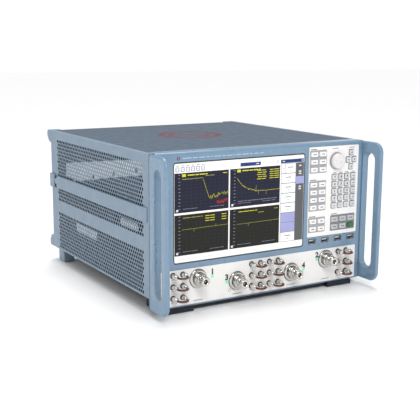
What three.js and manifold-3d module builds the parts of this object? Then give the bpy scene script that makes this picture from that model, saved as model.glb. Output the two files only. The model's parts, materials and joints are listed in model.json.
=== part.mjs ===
// A bench vector network analyzer: a steel case with a cast front frame, two front handles, a
// touch screen, a key panel with a rotary knob, and a port panel with four test ports and
// twelve coaxial jumper loops. Millimetres, +Z up. The front faces -Y, and the origin is the
// centre of the object's footprint on the surface that it stands on.
import * as THREE from "three";
import { mergeVertices } from "three/addons/utils/BufferGeometryUtils.js";
import Module from "manifold-3d";

const wasm = await Module();
wasm.setup();

// ---------- Driving dimensions ----------
const GAP = 0.3; // between pieces that touch
const HALF_WIDTH = 221; // outer face of the handles and the side panels
const FRONT = -206; // face of the front frame
const REAR = 234; // outer face of the rear panel
const CASE = { bottom: 29.7, top: 268, sheet: 2, flange: 7 };

const FRAME = { bottom: 10, top: 269, back: FRONT + 26, rebate: FRONT + 8.4 };
const PANEL = { face: FRONT + 0.4, back: FRONT + 3.4 };
const SCREEN = { x0: -181, x1: 82.5, z0: 84.5, z1: 252.5 };
const KEYS = { x0: 90.7, x1: 204.4, z0: 99.3, z1: 262.1 };
const PORTS = { x0: -204.4, x1: 204.4, z0: 13, z1: 75 };
const USB = { xs: [101.6, 131.2, 160.8, 190.4], z: 91.6, width: 14, height: 7, depth: 14 };

const HANDLE = { inner: 213, reach: 49, back: FRONT + 8.1, bottom: 11, top: 267.5, corner: 19 };
const SLOT = { back: FRONT - 6.5, width: 27.5, bottom: 36, top: 246 };

const KEY = { face: FRONT - 2.2, travel: 1.2, clearance: 0.4, flange: 1, web: 2 };
const FUNCTION_KEY = { width: 14.2, height: 8.6, columns: [102, 120.9] };
const FUNCTION_ROWS = [249, 235.3, 221.6, 194.4, 180.7, 167, 153.3, 127.9, 114.2];
const NUMBER_KEY = { width: 10, height: 9.2, columns: [148.8, 163.2, 177.6, 192] };
const NUMBER_ROWS = [205.6, 192.6, 179.6, 166.6, 153.6];
const ARROW_KEY = { size: 9, centre: [186.4, 235.4], reach: [6.9, 12.9] };
const SYSTEM_KEY = { width: 14.6, height: 9.4, columns: [151.4, 170.2, 189.2] };
const SYSTEM_ROWS = [127.9, 114.2];
const KNOB = { x: 152.5, z: 234.8, radius: 15.4, length: 9.5, shaft: 3 };

const TEST_PORTS = [
  { name: "test_port_1", x: -134.5, z: 55.7 },
  { name: "test_port_3", x: -57.6, z: 41.4 },
  { name: "test_port_4", x: 57.6, z: 41.4 },
  { name: "test_port_2", x: 134.5, z: 55.7 },
];
const PORT_HOLE = 13.4;
const JACK = { spacing: 18.6, radius: 3.2, hole: 3.7, nut: 4.6, nutLength: 9, cable: 1.8, reach: 27 };
const JACK_ROWS = [66.5, 47, 27.5];
const BANKS = [
  { name: "jumper_bank_left", centres: [-172.8] },
  { name: "jumper_bank_middle", centres: [-18.4, 18.7] },
  { name: "jumper_bank_right", centres: [171.9] },
];
const BRACKET = { front: FRONT + 12, back: FRONT + 15, margin: 7 };

const STRAP = { front: -192, back: 200, bottom: 157, top: 181, inner: 223, outer: 225.5, pad: 16 };
const STRAP_CAP = { front: 214, back: 235.5, bottom: 155, top: 183 };
const FOOT = { x0: 142, x1: 197, front: FRONT + 1, back: -138, heel: 22, cheek: 5, ceiling: 9.4 };
const FLAP = { length: 38, bottom: 1.4, top: 6.4, pin: 1.5 };
const REAR_FOOT = { x0: 188, x1: 212, front: 204, back: 232 };
const BUMPER = { inner: 196, reach: 21, height: 26 };

const FAN = { x: 118, z: 164, radius: 41, opening: 44, y: 216, hub: 15, blades: 7, pin: 3 };
const INLET = { x: -150, z: 70, width: 66, height: 32, depth: 26, lip: 2, wall: 3.5 };
const SOCKET = { x: INLET.x - 13, width: 25, height: 17, depth: 17 };
const ROCKER = { x: INLET.x + 20, width: 12, height: 20, pocket: 12, pin: 1.4, tilt: 12 };

// ---------- Materials ----------
function paint(color, roughness, metalness = 0) {
  return new THREE.MeshStandardMaterial({ color, roughness, metalness });
}
const MATERIAL = {
  blue: paint(0x7f9bb6, 0.45, 0.2),
  sheet: paint(0x93a8ba, 0.5, 0.2),
  cover: paint(0x6c7e8f, 0.5, 0.2),
  navy: paint(0x1f2a44, 0.5),
  white: paint(0xe4e3e1, 0.5),
  key: paint(0xf1f0ee, 0.45),
  grey: paint(0xc9c9c8, 0.5),
  green: paint(0x2f6b3c, 0.5),
  glass: paint(0x15161c, 0.1),
  nickel: paint(0xc4c2bf, 0.25, 1),
  copper: paint(0x9c5a48, 0.35, 1),
  steel: paint(0xb5b8ba, 0.4, 1),
  board: paint(0x2c5a3a, 0.6),
  black: paint(0x1c1d20, 0.6),
};

// ---------- Solids ----------
function solidOf(geometry) {
  const bare = geometry.index ? geometry.toNonIndexed() : geometry.clone();
  bare.deleteAttribute("normal");
  bare.deleteAttribute("uv");
  const merged = mergeVertices(bare, 1e-4);
  return new wasm.Manifold(
    new wasm.Mesh({
      numProp: 3,
      vertProperties: new Float32Array(merged.attributes.position.array),
      triVerts: new Uint32Array(merged.index.array),
    }),
  );
}

function geometryOf(solid) {
  const mesh = solid.getMesh();
  return new THREE.BufferGeometry()
    .setAttribute("position", new THREE.BufferAttribute(mesh.vertProperties, 3))
    .setIndex(new THREE.BufferAttribute(mesh.triVerts, 1));
}

function block(x0, x1, y0, y1, z0, z1) {
  const box = new THREE.BoxGeometry(x1 - x0, y1 - y0, z1 - z0);
  box.translate((x0 + x1) / 2, (y0 + y1) / 2, (z0 + z1) / 2);
  return solidOf(box);
}

// A box around a centre in the X-Z plane, from y0 to y1.
function tile(x, z, width, height, y0, y1) {
  return block(x - width / 2, x + width / 2, y0, y1, z - height / 2, z + height / 2);
}

// A cylinder or a regular prism along Y.
function rod(x, z, radius, y0, y1, sides = 16) {
  const cylinder = new THREE.CylinderGeometry(radius, radius, y1 - y0, sides);
  cylinder.translate(x, (y0 + y1) / 2, z);
  return solidOf(cylinder);
}

// A cylinder along X.
function axle(y, z, radius, x0, x1, sides = 12) {
  const cylinder = new THREE.CylinderGeometry(radius, radius, x1 - x0, sides);
  cylinder.rotateZ(Math.PI / 2);
  cylinder.translate((x0 + x1) / 2, y, z);
  return solidOf(cylinder);
}

// An outline drawn in (y, z), extruded along X from x0 to x1.
function sidePrism(shape, x0, x1, curveSegments = 6) {
  const prism = new THREE.ExtrudeGeometry(shape, { depth: x1 - x0, bevelEnabled: false, curveSegments });
  prism.applyMatrix4(new THREE.Matrix4().makeBasis(
    new THREE.Vector3(0, 1, 0), new THREE.Vector3(0, 0, 1), new THREE.Vector3(1, 0, 0)));
  prism.translate(x0, 0, 0);
  return solidOf(prism);
}

// A solid of revolution about Y, from a profile of [radius, distance in front of y0].
function turned(x, y0, z, profile, segments = 16) {
  const points = profile.map(([radius, forward]) => new THREE.Vector2(radius, forward));
  const lathe = new THREE.LatheGeometry(points, segments);
  lathe.rotateX(Math.PI);
  lathe.translate(x, y0, z);
  return solidOf(lathe);
}

function join(...solids) {
  return solids.reduce((sum, solid) => sum.add(solid));
}

function cut(base, ...tools) {
  return tools.reduce((rest, tool) => rest.subtract(tool), base);
}

const object = new THREE.Group();

function add(name, solid, material) {
  const mesh = new THREE.Mesh(geometryOf(solid), material);
  mesh.name = name;
  object.add(mesh);
}

// The same piece on both sides, given as the right one.
function addPair(name, solid, material) {
  add(`${name}_right`, solid, material);
  add(`${name}_left`, solid.mirror([1, 0, 0]), material);
}

// ---------- Front frame, panels and screen ----------
const FRAME_HALF = HANDLE.inner - GAP; // beside the handles
const REBATE_HALF = HALF_WIDTH - CASE.sheet - GAP; // between the side panels

function frontFrame() {
  const body = join(
    block(-FRAME_HALF, FRAME_HALF, FRONT, FRAME.back, FRAME.bottom, FRAME.top),
    block(-REBATE_HALF, REBATE_HALF, FRAME.rebate, FRAME.back, CASE.bottom, CASE.top),
  );
  const openings = [SCREEN, KEYS, PORTS].map((o) =>
    block(o.x0, o.x1, FRONT - 1, FRAME.back + 1, o.z0, o.z1));
  const sockets = USB.xs.map((x) =>
    tile(x, USB.z, USB.width, USB.height, FRONT - 1, FRONT + USB.depth));
  return cut(body, ...openings, ...sockets);
}

function plate(opening, front, back) {
  return block(opening.x0 + GAP, opening.x1 - GAP, front, back, opening.z0 + GAP, opening.z1 - GAP);
}

function panelHole(x, z, width, height) {
  const wider = 2 * KEY.clearance;
  return tile(x, z, width + wider, height + wider, PANEL.face - 1, PANEL.back + 1);
}

function keyHoles({ columns, width, height }, rows) {
  return rows.flatMap((z) => columns.map((x) => panelHole(x, z, width, height)));
}

function arrowPlaces() {
  const [x, z] = ARROW_KEY.centre;
  const [dx, dz] = ARROW_KEY.reach;
  return { up: [x, z + dz], down: [x, z - dz], left: [x - dx, z], right: [x + dx, z] };
}

function keyPanel() {
  return cut(
    plate(KEYS, PANEL.face, PANEL.back),
    ...keyHoles(FUNCTION_KEY, FUNCTION_ROWS),
    ...keyHoles(NUMBER_KEY, NUMBER_ROWS),
    ...keyHoles(SYSTEM_KEY, SYSTEM_ROWS),
    ...Object.values(arrowPlaces()).map(([x, z]) => panelHole(x, z, ARROW_KEY.size, ARROW_KEY.size)),
    rod(KNOB.x, KNOB.z, KNOB.shaft + 1, PANEL.face - 1, PANEL.back + 1, 12),
  );
}

function jackPlaces(bank) {
  return bank.centres.flatMap((centre) => JACK_ROWS.map((z) => [centre, z]));
}

function portPanel() {
  const jacks = BANKS.flatMap(jackPlaces).flatMap(([x, z]) => [-0.5, 0.5].map((side) =>
    rod(x + side * JACK.spacing, z, JACK.hole, PANEL.face - 1, PANEL.back + 1, 10)));
  const ports = TEST_PORTS.map(({ x, z }) => rod(x, z, PORT_HOLE, PANEL.face - 1, PANEL.back + 1));
  return cut(plate(PORTS, PANEL.face, PANEL.back), ...jacks, ...ports);
}

add("front_frame", frontFrame(), MATERIAL.blue);
add("key_panel", keyPanel(), MATERIAL.white);
add("port_panel", portPanel(), MATERIAL.white);
add("touch_screen", plate(SCREEN, FRONT + 0.8, FRONT + 3.8), MATERIAL.glass);
add("display_module", block(SCREEN.x0 + 5, SCREEN.x1 - 5, FRONT + 4.1, FRONT + 14,
  SCREEN.z0 + 5, SCREEN.z1 - 5), MATERIAL.black);

// ---------- Handles ----------
function slotPath() {
  const radius = SLOT.width / 2;
  const y = SLOT.back - radius;
  const path = new THREE.Path();
  path.moveTo(y - radius, SLOT.top - radius);
  path.absarc(y, SLOT.top - radius, radius, Math.PI, 0, true);
  path.absarc(y, SLOT.bottom + radius, radius, 0, -Math.PI, true);
  path.closePath();
  return path;
}

function handle() {
  const { back, bottom, top, corner } = HANDLE;
  const centre = FRONT - HANDLE.reach + corner;
  const side = new THREE.Shape();
  side.moveTo(back, bottom);
  side.lineTo(back, top);
  side.absarc(centre, top - corner, corner, Math.PI / 2, Math.PI, false);
  side.absarc(centre, bottom + corner, corner, Math.PI, 1.5 * Math.PI, false);
  side.closePath();
  side.holes.push(slotPath());
  return sidePrism(side, HANDLE.inner, HALF_WIDTH, 10);
}
addPair("handle", handle(), MATERIAL.blue);

// ---------- Keys and knob ----------
// The keys of one row share a silicone strip behind the key panel. Each cap comes out through
// its own hole, and the strip's rim holds it in.
const STRIP = { front: PANEL.back + GAP, back: PANEL.back + GAP + KEY.web };

function keyStrip(columns, z, width, height) {
  const first = columns[0] - width / 2 - KEY.flange;
  const last = columns[columns.length - 1] + width / 2 + KEY.flange;
  const strip = block(first, last, STRIP.front, STRIP.back,
    z - height / 2 - KEY.flange, z + height / 2 + KEY.flange);
  return join(strip, ...columns.map((x) => tile(x, z, width, height, KEY.face, STRIP.back)));
}

FUNCTION_ROWS.forEach((z, row) => add(`function_keys_${row + 1}`,
  keyStrip(FUNCTION_KEY.columns, z, FUNCTION_KEY.width, FUNCTION_KEY.height), MATERIAL.key));
NUMBER_ROWS.forEach((z, row) => add(`number_keys_${row + 1}`,
  keyStrip(NUMBER_KEY.columns, z, NUMBER_KEY.width, NUMBER_KEY.height), MATERIAL.grey));
Object.entries(arrowPlaces()).forEach(([way, [x, z]]) => add(`arrow_key_${way}`,
  keyStrip([x], z, ARROW_KEY.size, ARROW_KEY.size), MATERIAL.grey));

const SYSTEM_STRIPS = [
  { name: "system_keys_upper", columns: SYSTEM_KEY.columns, z: SYSTEM_ROWS[0], material: MATERIAL.grey },
  { name: "system_keys_lower", columns: SYSTEM_KEY.columns.slice(0, 2), z: SYSTEM_ROWS[1],
    material: MATERIAL.grey },
  { name: "preset_key", columns: SYSTEM_KEY.columns.slice(2), z: SYSTEM_ROWS[1],
    material: MATERIAL.green },
];
for (const { name, columns, z, material } of SYSTEM_STRIPS)
  add(name, keyStrip(columns, z, SYSTEM_KEY.width, SYSTEM_KEY.height), material);

const BOARD = { front: STRIP.back + KEY.travel + GAP, thickness: 1.6 };
const ENCODER = { half: 7, front: PANEL.back + GAP, wall: 1 };
add("key_board", cut(
  join(
    block(KEYS.x0 + 2, KEYS.x1 - 2, BOARD.front, BOARD.front + BOARD.thickness, KEYS.z0 + 2, KEYS.z1 - 2),
    tile(KNOB.x, KNOB.z, 2 * ENCODER.half, 2 * ENCODER.half, ENCODER.front, BOARD.front + 6),
  ),
  rod(KNOB.x, KNOB.z, KNOB.shaft + GAP, ENCODER.front - 1, BOARD.front + 5),
), MATERIAL.board);
add("knob", join(
  rod(KNOB.x, KNOB.z, KNOB.radius, PANEL.face - GAP - KNOB.length, PANEL.face - GAP, 32),
  rod(KNOB.x, KNOB.z, KNOB.shaft, PANEL.face - 1, BOARD.front + 5 - GAP),
), MATERIAL.white);

// ---------- Test ports and jumper loops ----------
// [radius, distance in front of the port panel], from the rear boss to the contact's tip.
const TEST_PORT_PROFILE = [
  [0, -18], [12.6, -18], [12.6, GAP], [16, GAP], [16, 3.5], [11.5, 4.5], [11.5, 12], [9.5, 13],
  [9.5, 16], [8, 17], [8, 27], [5, 27], [5, 20], [1, 20], [1, 25], [0, 25],
];
for (const { name, x, z } of TEST_PORTS)
  add(name, turned(x, PANEL.face, z, TEST_PORT_PROFILE), MATERIAL.nickel);

function jumperLoop(x, z) {
  const half = JACK.spacing / 2;
  const nutFront = PANEL.face - GAP - JACK.nutLength;
  const bendCentre = PANEL.face - JACK.reach + JACK.cable + half;
  const bends = 6;
  const route = [new THREE.Vector3(x - half, nutFront + 3, z)];
  for (let step = 0; step <= bends; step++) {
    const angle = Math.PI * step / bends;
    route.push(new THREE.Vector3(
      x - half * Math.cos(angle), bendCentre - half * Math.sin(angle), z));
  }
  route.push(new THREE.Vector3(x + half, nutFront + 3, z));
  const section = new THREE.Shape();
  section.absarc(0, 0, JACK.cable, 0, 2 * Math.PI, false);
  const tube = solidOf(new THREE.ExtrudeGeometry(section, {
    steps: 14, curveSegments: 4, bevelEnabled: false,
    extrudePath: new THREE.CatmullRomCurve3(route, false, "centripetal"),
  }));
  const jacks = [-half, half].flatMap((dx) => [
    rod(x + dx, z, JACK.nut, nutFront, PANEL.face - GAP, 6),
    rod(x + dx, z, JACK.radius, nutFront + 2, BRACKET.back - 1, 8),
  ]);
  return join(tube, ...jacks);
}

for (const bank of BANKS) {
  const x0 = bank.centres[0] - JACK.spacing / 2 - BRACKET.margin;
  const x1 = bank.centres[bank.centres.length - 1] + JACK.spacing / 2 + BRACKET.margin;
  const bracket = block(x0, x1, BRACKET.front, BRACKET.back,
    JACK_ROWS[2] - BRACKET.margin, JACK_ROWS[0] + BRACKET.margin);
  add(bank.name, join(bracket, ...jackPlaces(bank).map(([x, z]) => jumperLoop(x, z))), MATERIAL.copper);
}

// ---------- Case ----------
const INNER = HALF_WIDTH - CASE.sheet;
const FLANGE_FRONT = FRAME.back + GAP;
const COVER_HALF = INNER - CASE.flange - GAP;

function sidePanel() {
  const flange = (z0, z1) => block(INNER - CASE.flange, INNER + 1, FLANGE_FRONT, REAR, z0, z1);
  return join(
    block(INNER, HALF_WIDTH, HANDLE.back + GAP, REAR, CASE.bottom, CASE.top),
    flange(CASE.top - CASE.sheet, CASE.top),
    flange(CASE.bottom, CASE.bottom + CASE.sheet),
  );
}
addPair("side_panel", sidePanel(), MATERIAL.sheet);
add("top_cover", block(-COVER_HALF, COVER_HALF, FLANGE_FRONT, REAR,
  CASE.top - CASE.sheet, CASE.top), MATERIAL.cover);

const INSIDE = { bottom: CASE.bottom + CASE.sheet + GAP, top: CASE.top - CASE.sheet - GAP };

// The rear panel carries the fan guard, coaxial jacks in two rows and two long connectors.
function rearPanel() {
  const front = REAR - 3;
  const back = REAR - GAP;
  const sheet = cut(
    block(-REBATE_HALF, REBATE_HALF, front, back, INSIDE.bottom, INSIDE.top),
    rod(FAN.x, FAN.z, FAN.opening, front - 1, REAR, 24),
    tile(INLET.x, INLET.z, INLET.width - 6, INLET.height - 6, front - 1, REAR),
  );
  const spoke = 2 * FAN.opening + 4;
  const guard = [
    tile(FAN.x, FAN.z, spoke, 5, front, back),
    tile(FAN.x, FAN.z, 5, spoke, front, back),
    rod(FAN.x, FAN.z, FAN.hub, front, back),
    rod(FAN.x, FAN.z, FAN.pin, FAN.y - 4, front + 1, 12),
  ];
  const jacks = [-100, -72, -44, -16].flatMap((x) =>
    [218, 188].map((z) => rod(x, z, 5.5, front, REAR + 11, 10)));
  const connectors = [214, 184].map((z) => tile(-168, z, 44, 13, front, REAR + 6));
  return join(sheet, ...guard, ...jacks, ...connectors);
}
add("rear_panel", rearPanel(), MATERIAL.sheet);

// ---------- Chassis and what it carries ----------
const WALL = { half: 210, thickness: 1.5, front: FRAME.back + 2, back: REAR - 4, height: 200, middle: -20 };

// The chassis is a tray whose floor closes the case below.
function chassis() {
  const top = CASE.bottom + WALL.height;
  const { half, thickness, front, back, middle } = WALL;
  return join(
    block(-COVER_HALF, COVER_HALF, FLANGE_FRONT, REAR, CASE.bottom, CASE.bottom + CASE.sheet),
    block(-half, half, front, front + thickness, CASE.bottom, top),
    block(half - thickness, half, front, back, CASE.bottom, top),
    block(-half, thickness - half, front, back, CASE.bottom, top),
    block(-half, half, middle, middle + thickness, CASE.bottom, top),
  );
}
add("chassis", chassis(), MATERIAL.steel);

// A sheet or cast housing that is open on the side that faces the front.
function housing(x0, x1, y0, y1, z0, z1, wall) {
  return cut(
    block(x0, x1, y0, y1, z0, z1),
    block(x0 + wall, x1 - wall, y0 - 1, y1 - wall, z0 + wall, z1 - wall),
  );
}
const DECK = INSIDE.bottom + 4;
add("test_set", housing(-200, 200, -170, WALL.middle - GAP, DECK, DECK + 76, 3), MATERIAL.nickel);
add("power_supply", housing(-200, -60, 20, 200, DECK, DECK + 90, 2), MATERIAL.steel);
add("main_board", block(-40, 200, 0, 200, DECK + 6, DECK + 7.6), MATERIAL.board);

function fanRotor() {
  const front = FAN.y - 9;
  const hub = cut(
    rod(FAN.x, FAN.z, FAN.hub, front, FAN.y + 5),
    rod(FAN.x, FAN.z, FAN.pin + GAP, FAN.y - 4 - GAP, FAN.y + 6, 12),
  );
  const blades = [];
  for (let blade = 0; blade < FAN.blades; blade++) {
    const shape = new THREE.BoxGeometry(FAN.radius - 12, 1.8, 16);
    shape.translate((FAN.radius + 12) / 2, 0, 0);
    shape.rotateX(Math.PI / 4);
    shape.rotateY(2 * Math.PI * blade / FAN.blades);
    shape.translate(FAN.x, FAN.y - 2, FAN.z);
    blades.push(solidOf(shape));
  }
  return join(hub, ...blades.map((blade) => cut(blade, rod(FAN.x, FAN.z, FAN.hub - 2, front, FAN.y + 5))));
}
add("fan_rotor", fanRotor(), MATERIAL.black);

// ---------- Mains inlet and switch ----------
const PIVOT = { y: REAR - 3, z: INLET.z };

function powerInlet() {
  const outside = REAR + INLET.lip + 1;
  const lip = tile(INLET.x, INLET.z, INLET.width, INLET.height, REAR, REAR + INLET.lip);
  const body = tile(INLET.x, INLET.z, INLET.width - 2 * INLET.wall, INLET.height - 2 * INLET.wall,
    REAR - INLET.depth, REAR + 1);
  const socket = tile(SOCKET.x, INLET.z, SOCKET.width, SOCKET.height, REAR - SOCKET.depth, outside);
  const pocket = tile(ROCKER.x, INLET.z, ROCKER.width + 1.2, ROCKER.height + 1.6,
    REAR - ROCKER.pocket, outside);
  const contacts = [-7, 0, 7].map((dx) => tile(SOCKET.x + dx, INLET.z + (dx ? -3 : 3), 2, 5,
    REAR - SOCKET.depth - 1, REAR - 4));
  const pin = axle(PIVOT.y, PIVOT.z, ROCKER.pin, ROCKER.x - ROCKER.width / 2 - 1, ROCKER.x + ROCKER.width / 2 + 1);
  return join(cut(join(lip, body), socket, pocket), pin, ...contacts);
}
add("power_inlet", powerInlet(), MATERIAL.black);

// Two flat faces meet in a shallow valley at the pivot, and one end lies pressed in.
function rocker() {
  const half = ROCKER.height / 2;
  const side = new THREE.Shape();
  side.moveTo(-4, 1.2 - half);
  side.lineTo(3.2, 0.6 - half);
  side.lineTo(2.4, 0);
  side.lineTo(3.2, half - 0.6);
  side.lineTo(-4, half - 1.2);
  side.closePath();
  const x0 = ROCKER.x - ROCKER.width / 2;
  const shape = cut(
    sidePrism(side, x0, x0 + ROCKER.width),
    axle(0, 0, ROCKER.pin + GAP, x0 - 1, x0 + ROCKER.width + 1),
  );
  return shape.rotate([ROCKER.tilt, 0, 0]).translate([0, PIVOT.y, PIVOT.z]);
}
add("power_rocker", rocker(), MATERIAL.black);

// ---------- Strap handles, feet and bumpers ----------
function strap() {
  const inner = HALF_WIDTH + GAP;
  const { front, back, bottom, top, outer, pad } = STRAP;
  return join(
    block(STRAP.inner, outer, front, back, bottom, top),
    block(inner, outer, front, front + pad, bottom, top),
    block(inner, outer, back - pad, back, bottom, top),
    block(inner, inner + 2, back - 1, STRAP_CAP.front + 1, bottom + 3, top - 3),
    block(inner, outer, STRAP_CAP.front, STRAP_CAP.back, STRAP_CAP.bottom, STRAP_CAP.top),
  );
}
addPair("strap", strap(), MATERIAL.blue);

const UNDER_CASE = CASE.bottom - GAP;
const HINGE = { y: FOOT.front + FOOT.heel + 5, z: (FLAP.bottom + FLAP.top) / 2 };

function frontFoot() {
  const { x0, x1, front, back, heel, cheek } = FOOT;
  const bearing = axle(HINGE.y, HINGE.z, FLAP.pin + GAP, x0 - 1, x1 + 1);
  const behindFrame = FRAME.back + GAP;
  return cut(
    join(
      block(x0, x1, front, front + heel, 0, FRAME.bottom - GAP),
      block(x0, x1, front, back, FOOT.ceiling - 2, FRAME.bottom - GAP),
      block(x0, x1, behindFrame, back, FOOT.ceiling - 2, UNDER_CASE),
      block(x0, x0 + cheek, front, back, 0, FRAME.bottom - GAP),
      block(x1 - cheek, x1, front, back, 0, FRAME.bottom - GAP),
    ),
    bearing,
  );
}
addPair("front_foot", frontFoot(), MATERIAL.navy);

function footFlap() {
  const x0 = FOOT.x0 + FOOT.cheek + 0.5;
  const x1 = FOOT.x1 - FOOT.cheek - 0.5;
  return join(
    block(x0, x1, HINGE.y - 2, HINGE.y + FLAP.length, FLAP.bottom, FLAP.top),
    axle(HINGE.y, HINGE.z, FLAP.pin, x0 - 4, x1 + 4),
  );
}
addPair("foot_flap", footFlap(), MATERIAL.navy);
addPair("rear_foot", block(REAR_FOOT.x0, REAR_FOOT.x1, REAR_FOOT.front, REAR_FOOT.back,
  0, UNDER_CASE), MATERIAL.navy);

// A bumper's outline in (y, z), from the case's edge towards its middle when inward is 1.
function bumper(edge, inward) {
  const outline = [
    [GAP, 0], [BUMPER.reach - 3, 0], [BUMPER.reach, 3.5], [BUMPER.reach, 12], [14, 22],
    [GAP, BUMPER.height],
  ];
  const side = new THREE.Shape(outline.map(([behind, along]) =>
    new THREE.Vector2(REAR + behind, edge + inward * along)));
  return sidePrism(side, BUMPER.inner, HALF_WIDTH);
}
addPair("bumper_top", bumper(CASE.top, -1), MATERIAL.blue);
addPair("bumper_bottom", bumper(CASE.bottom, 1), MATERIAL.blue);

export default object;
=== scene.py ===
"""Looks of a bench vector network analyzer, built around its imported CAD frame.

Shapes are drawn in millimetres on the frame's axes (+X right, +Y to the rear, +Z up) and become
metres when a piece is made. Places and sizes come from the boxes of the CAD nodes.
"""
import json
import math
import random
from types import SimpleNamespace

import bmesh
import bpy
from mathutils import Matrix, Vector


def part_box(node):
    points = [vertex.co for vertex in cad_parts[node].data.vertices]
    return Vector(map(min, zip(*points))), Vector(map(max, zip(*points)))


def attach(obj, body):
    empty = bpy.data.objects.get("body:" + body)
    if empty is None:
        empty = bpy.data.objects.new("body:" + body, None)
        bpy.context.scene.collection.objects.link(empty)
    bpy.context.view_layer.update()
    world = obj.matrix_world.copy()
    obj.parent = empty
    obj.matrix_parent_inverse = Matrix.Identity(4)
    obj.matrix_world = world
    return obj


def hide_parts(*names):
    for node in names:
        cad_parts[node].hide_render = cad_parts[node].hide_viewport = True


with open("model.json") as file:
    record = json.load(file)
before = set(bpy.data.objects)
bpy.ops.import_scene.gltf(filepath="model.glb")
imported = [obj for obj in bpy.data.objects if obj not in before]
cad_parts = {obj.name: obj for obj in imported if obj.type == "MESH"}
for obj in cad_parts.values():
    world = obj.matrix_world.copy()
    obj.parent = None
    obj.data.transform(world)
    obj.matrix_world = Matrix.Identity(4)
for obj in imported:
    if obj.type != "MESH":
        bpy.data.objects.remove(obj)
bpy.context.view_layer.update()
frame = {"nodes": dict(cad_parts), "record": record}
MM = 0.001
TAU = 2 * math.pi


def box_of(node):
    """A CAD node's box at rest, in millimetres."""
    low, high = (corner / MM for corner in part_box(node))
    mid = (low + high) / 2
    return SimpleNamespace(
        x0=low.x, y0=low.y, z0=low.z, x1=high.x, y1=high.y, z1=high.z, x=mid.x, y=mid.y, z=mid.z)


FRAME = box_of("front_frame")
SCREEN = box_of("touch_screen")
KEYS = box_of("key_panel")
PORTS = box_of("port_panel")
HANDLE = box_of("handle_right")
SIDE = box_of("side_panel_right")
COVER = box_of("top_cover")
REAR = box_of("rear_panel")
BODY = {node: name for name, nodes in frame["record"]["behaviour"]["bodies"].items() for node in nodes}


# ---------- Materials ----------
def linear(code, gain=1.0):
    """A hex colour as a linear RGBA."""
    channels = [int(code[i:i + 2], 16) / 255 for i in (0, 2, 4)]
    light = [c / 12.92 if c <= 0.04045 else ((c + 0.055) / 1.055) ** 2.4 for c in channels]
    return [gain * c for c in light] + [1.0]


class Tree:
    """Builds the nodes of one material."""

    def __init__(self, name):
        self.material = bpy.data.materials.new(name)
        self.material.use_nodes = True
        self.tree = self.material.node_tree
        self.shader = self.tree.nodes["Principled BSDF"]
        self.place = self.add("ShaderNodeTexCoord").outputs["Object"]

    def add(self, kind, **settings):
        node = self.tree.nodes.new(kind)
        for key, value in settings.items():
            setattr(node, key, value)
        return node

    def link(self, source, socket):
        self.tree.links.new(source, socket)

    def noise(self, scale, detail=3.0, stretch=None):
        """Noise with features about 1/scale of a metre across."""
        node = self.add("ShaderNodeTexNoise")
        node.inputs["Scale"].default_value = scale
        node.inputs["Detail"].default_value = detail
        place = self.place
        if stretch:
            mapping = self.add("ShaderNodeMapping")
            mapping.inputs["Scale"].default_value = stretch
            self.link(place, mapping.inputs["Vector"])
            place = mapping.outputs["Vector"]
        self.link(place, node.inputs["Vector"])
        return node.outputs["Fac"]

    def spread(self, value, low, high, start=0.3, end=0.7):
        """The value's range from start to end, mapped to low..high."""
        node = self.add("ShaderNodeMapRange")
        settings = {"From Min": start, "From Max": end, "To Min": low, "To Max": high}
        for socket, number in settings.items():
            node.inputs[socket].default_value = number
        self.link(value, node.inputs["Value"])
        return node.outputs["Result"]

    def mix(self, factor, first, second):
        """Colour from first to second; each is a colour or an output."""
        node = self.add("ShaderNodeMix", data_type="RGBA")
        for socket, value in ((0, factor), (6, first), (7, second)):
            if hasattr(value, "links"):
                self.link(value, node.inputs[socket])
            else:
                node.inputs[socket].default_value = value
        return node.outputs[2]

    def edges(self, radius):
        """About 1 along outside and inside edges, and 0 on flat faces."""
        bevel = self.add("ShaderNodeBevel", samples=4)
        bevel.inputs["Radius"].default_value = radius
        geometry = self.add("ShaderNodeNewGeometry")
        turn = self.add("ShaderNodeVectorMath", operation="DOT_PRODUCT")
        self.link(bevel.outputs["Normal"], turn.inputs[0])
        self.link(geometry.outputs["Normal"], turn.inputs[1])
        return self.spread(turn.outputs["Value"], 1.0, 0.0, 0.86, 0.995)

    def bump(self, height, depth):
        """Surface relief of this depth in metres."""
        node = self.add("ShaderNodeBump")
        node.inputs["Distance"].default_value = depth
        previous = self.shader.inputs["Normal"].links
        if previous:
            self.link(previous[0].from_socket, node.inputs["Normal"])
        self.link(height, node.inputs["Height"])
        self.link(node.outputs["Normal"], self.shader.inputs["Normal"])


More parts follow.
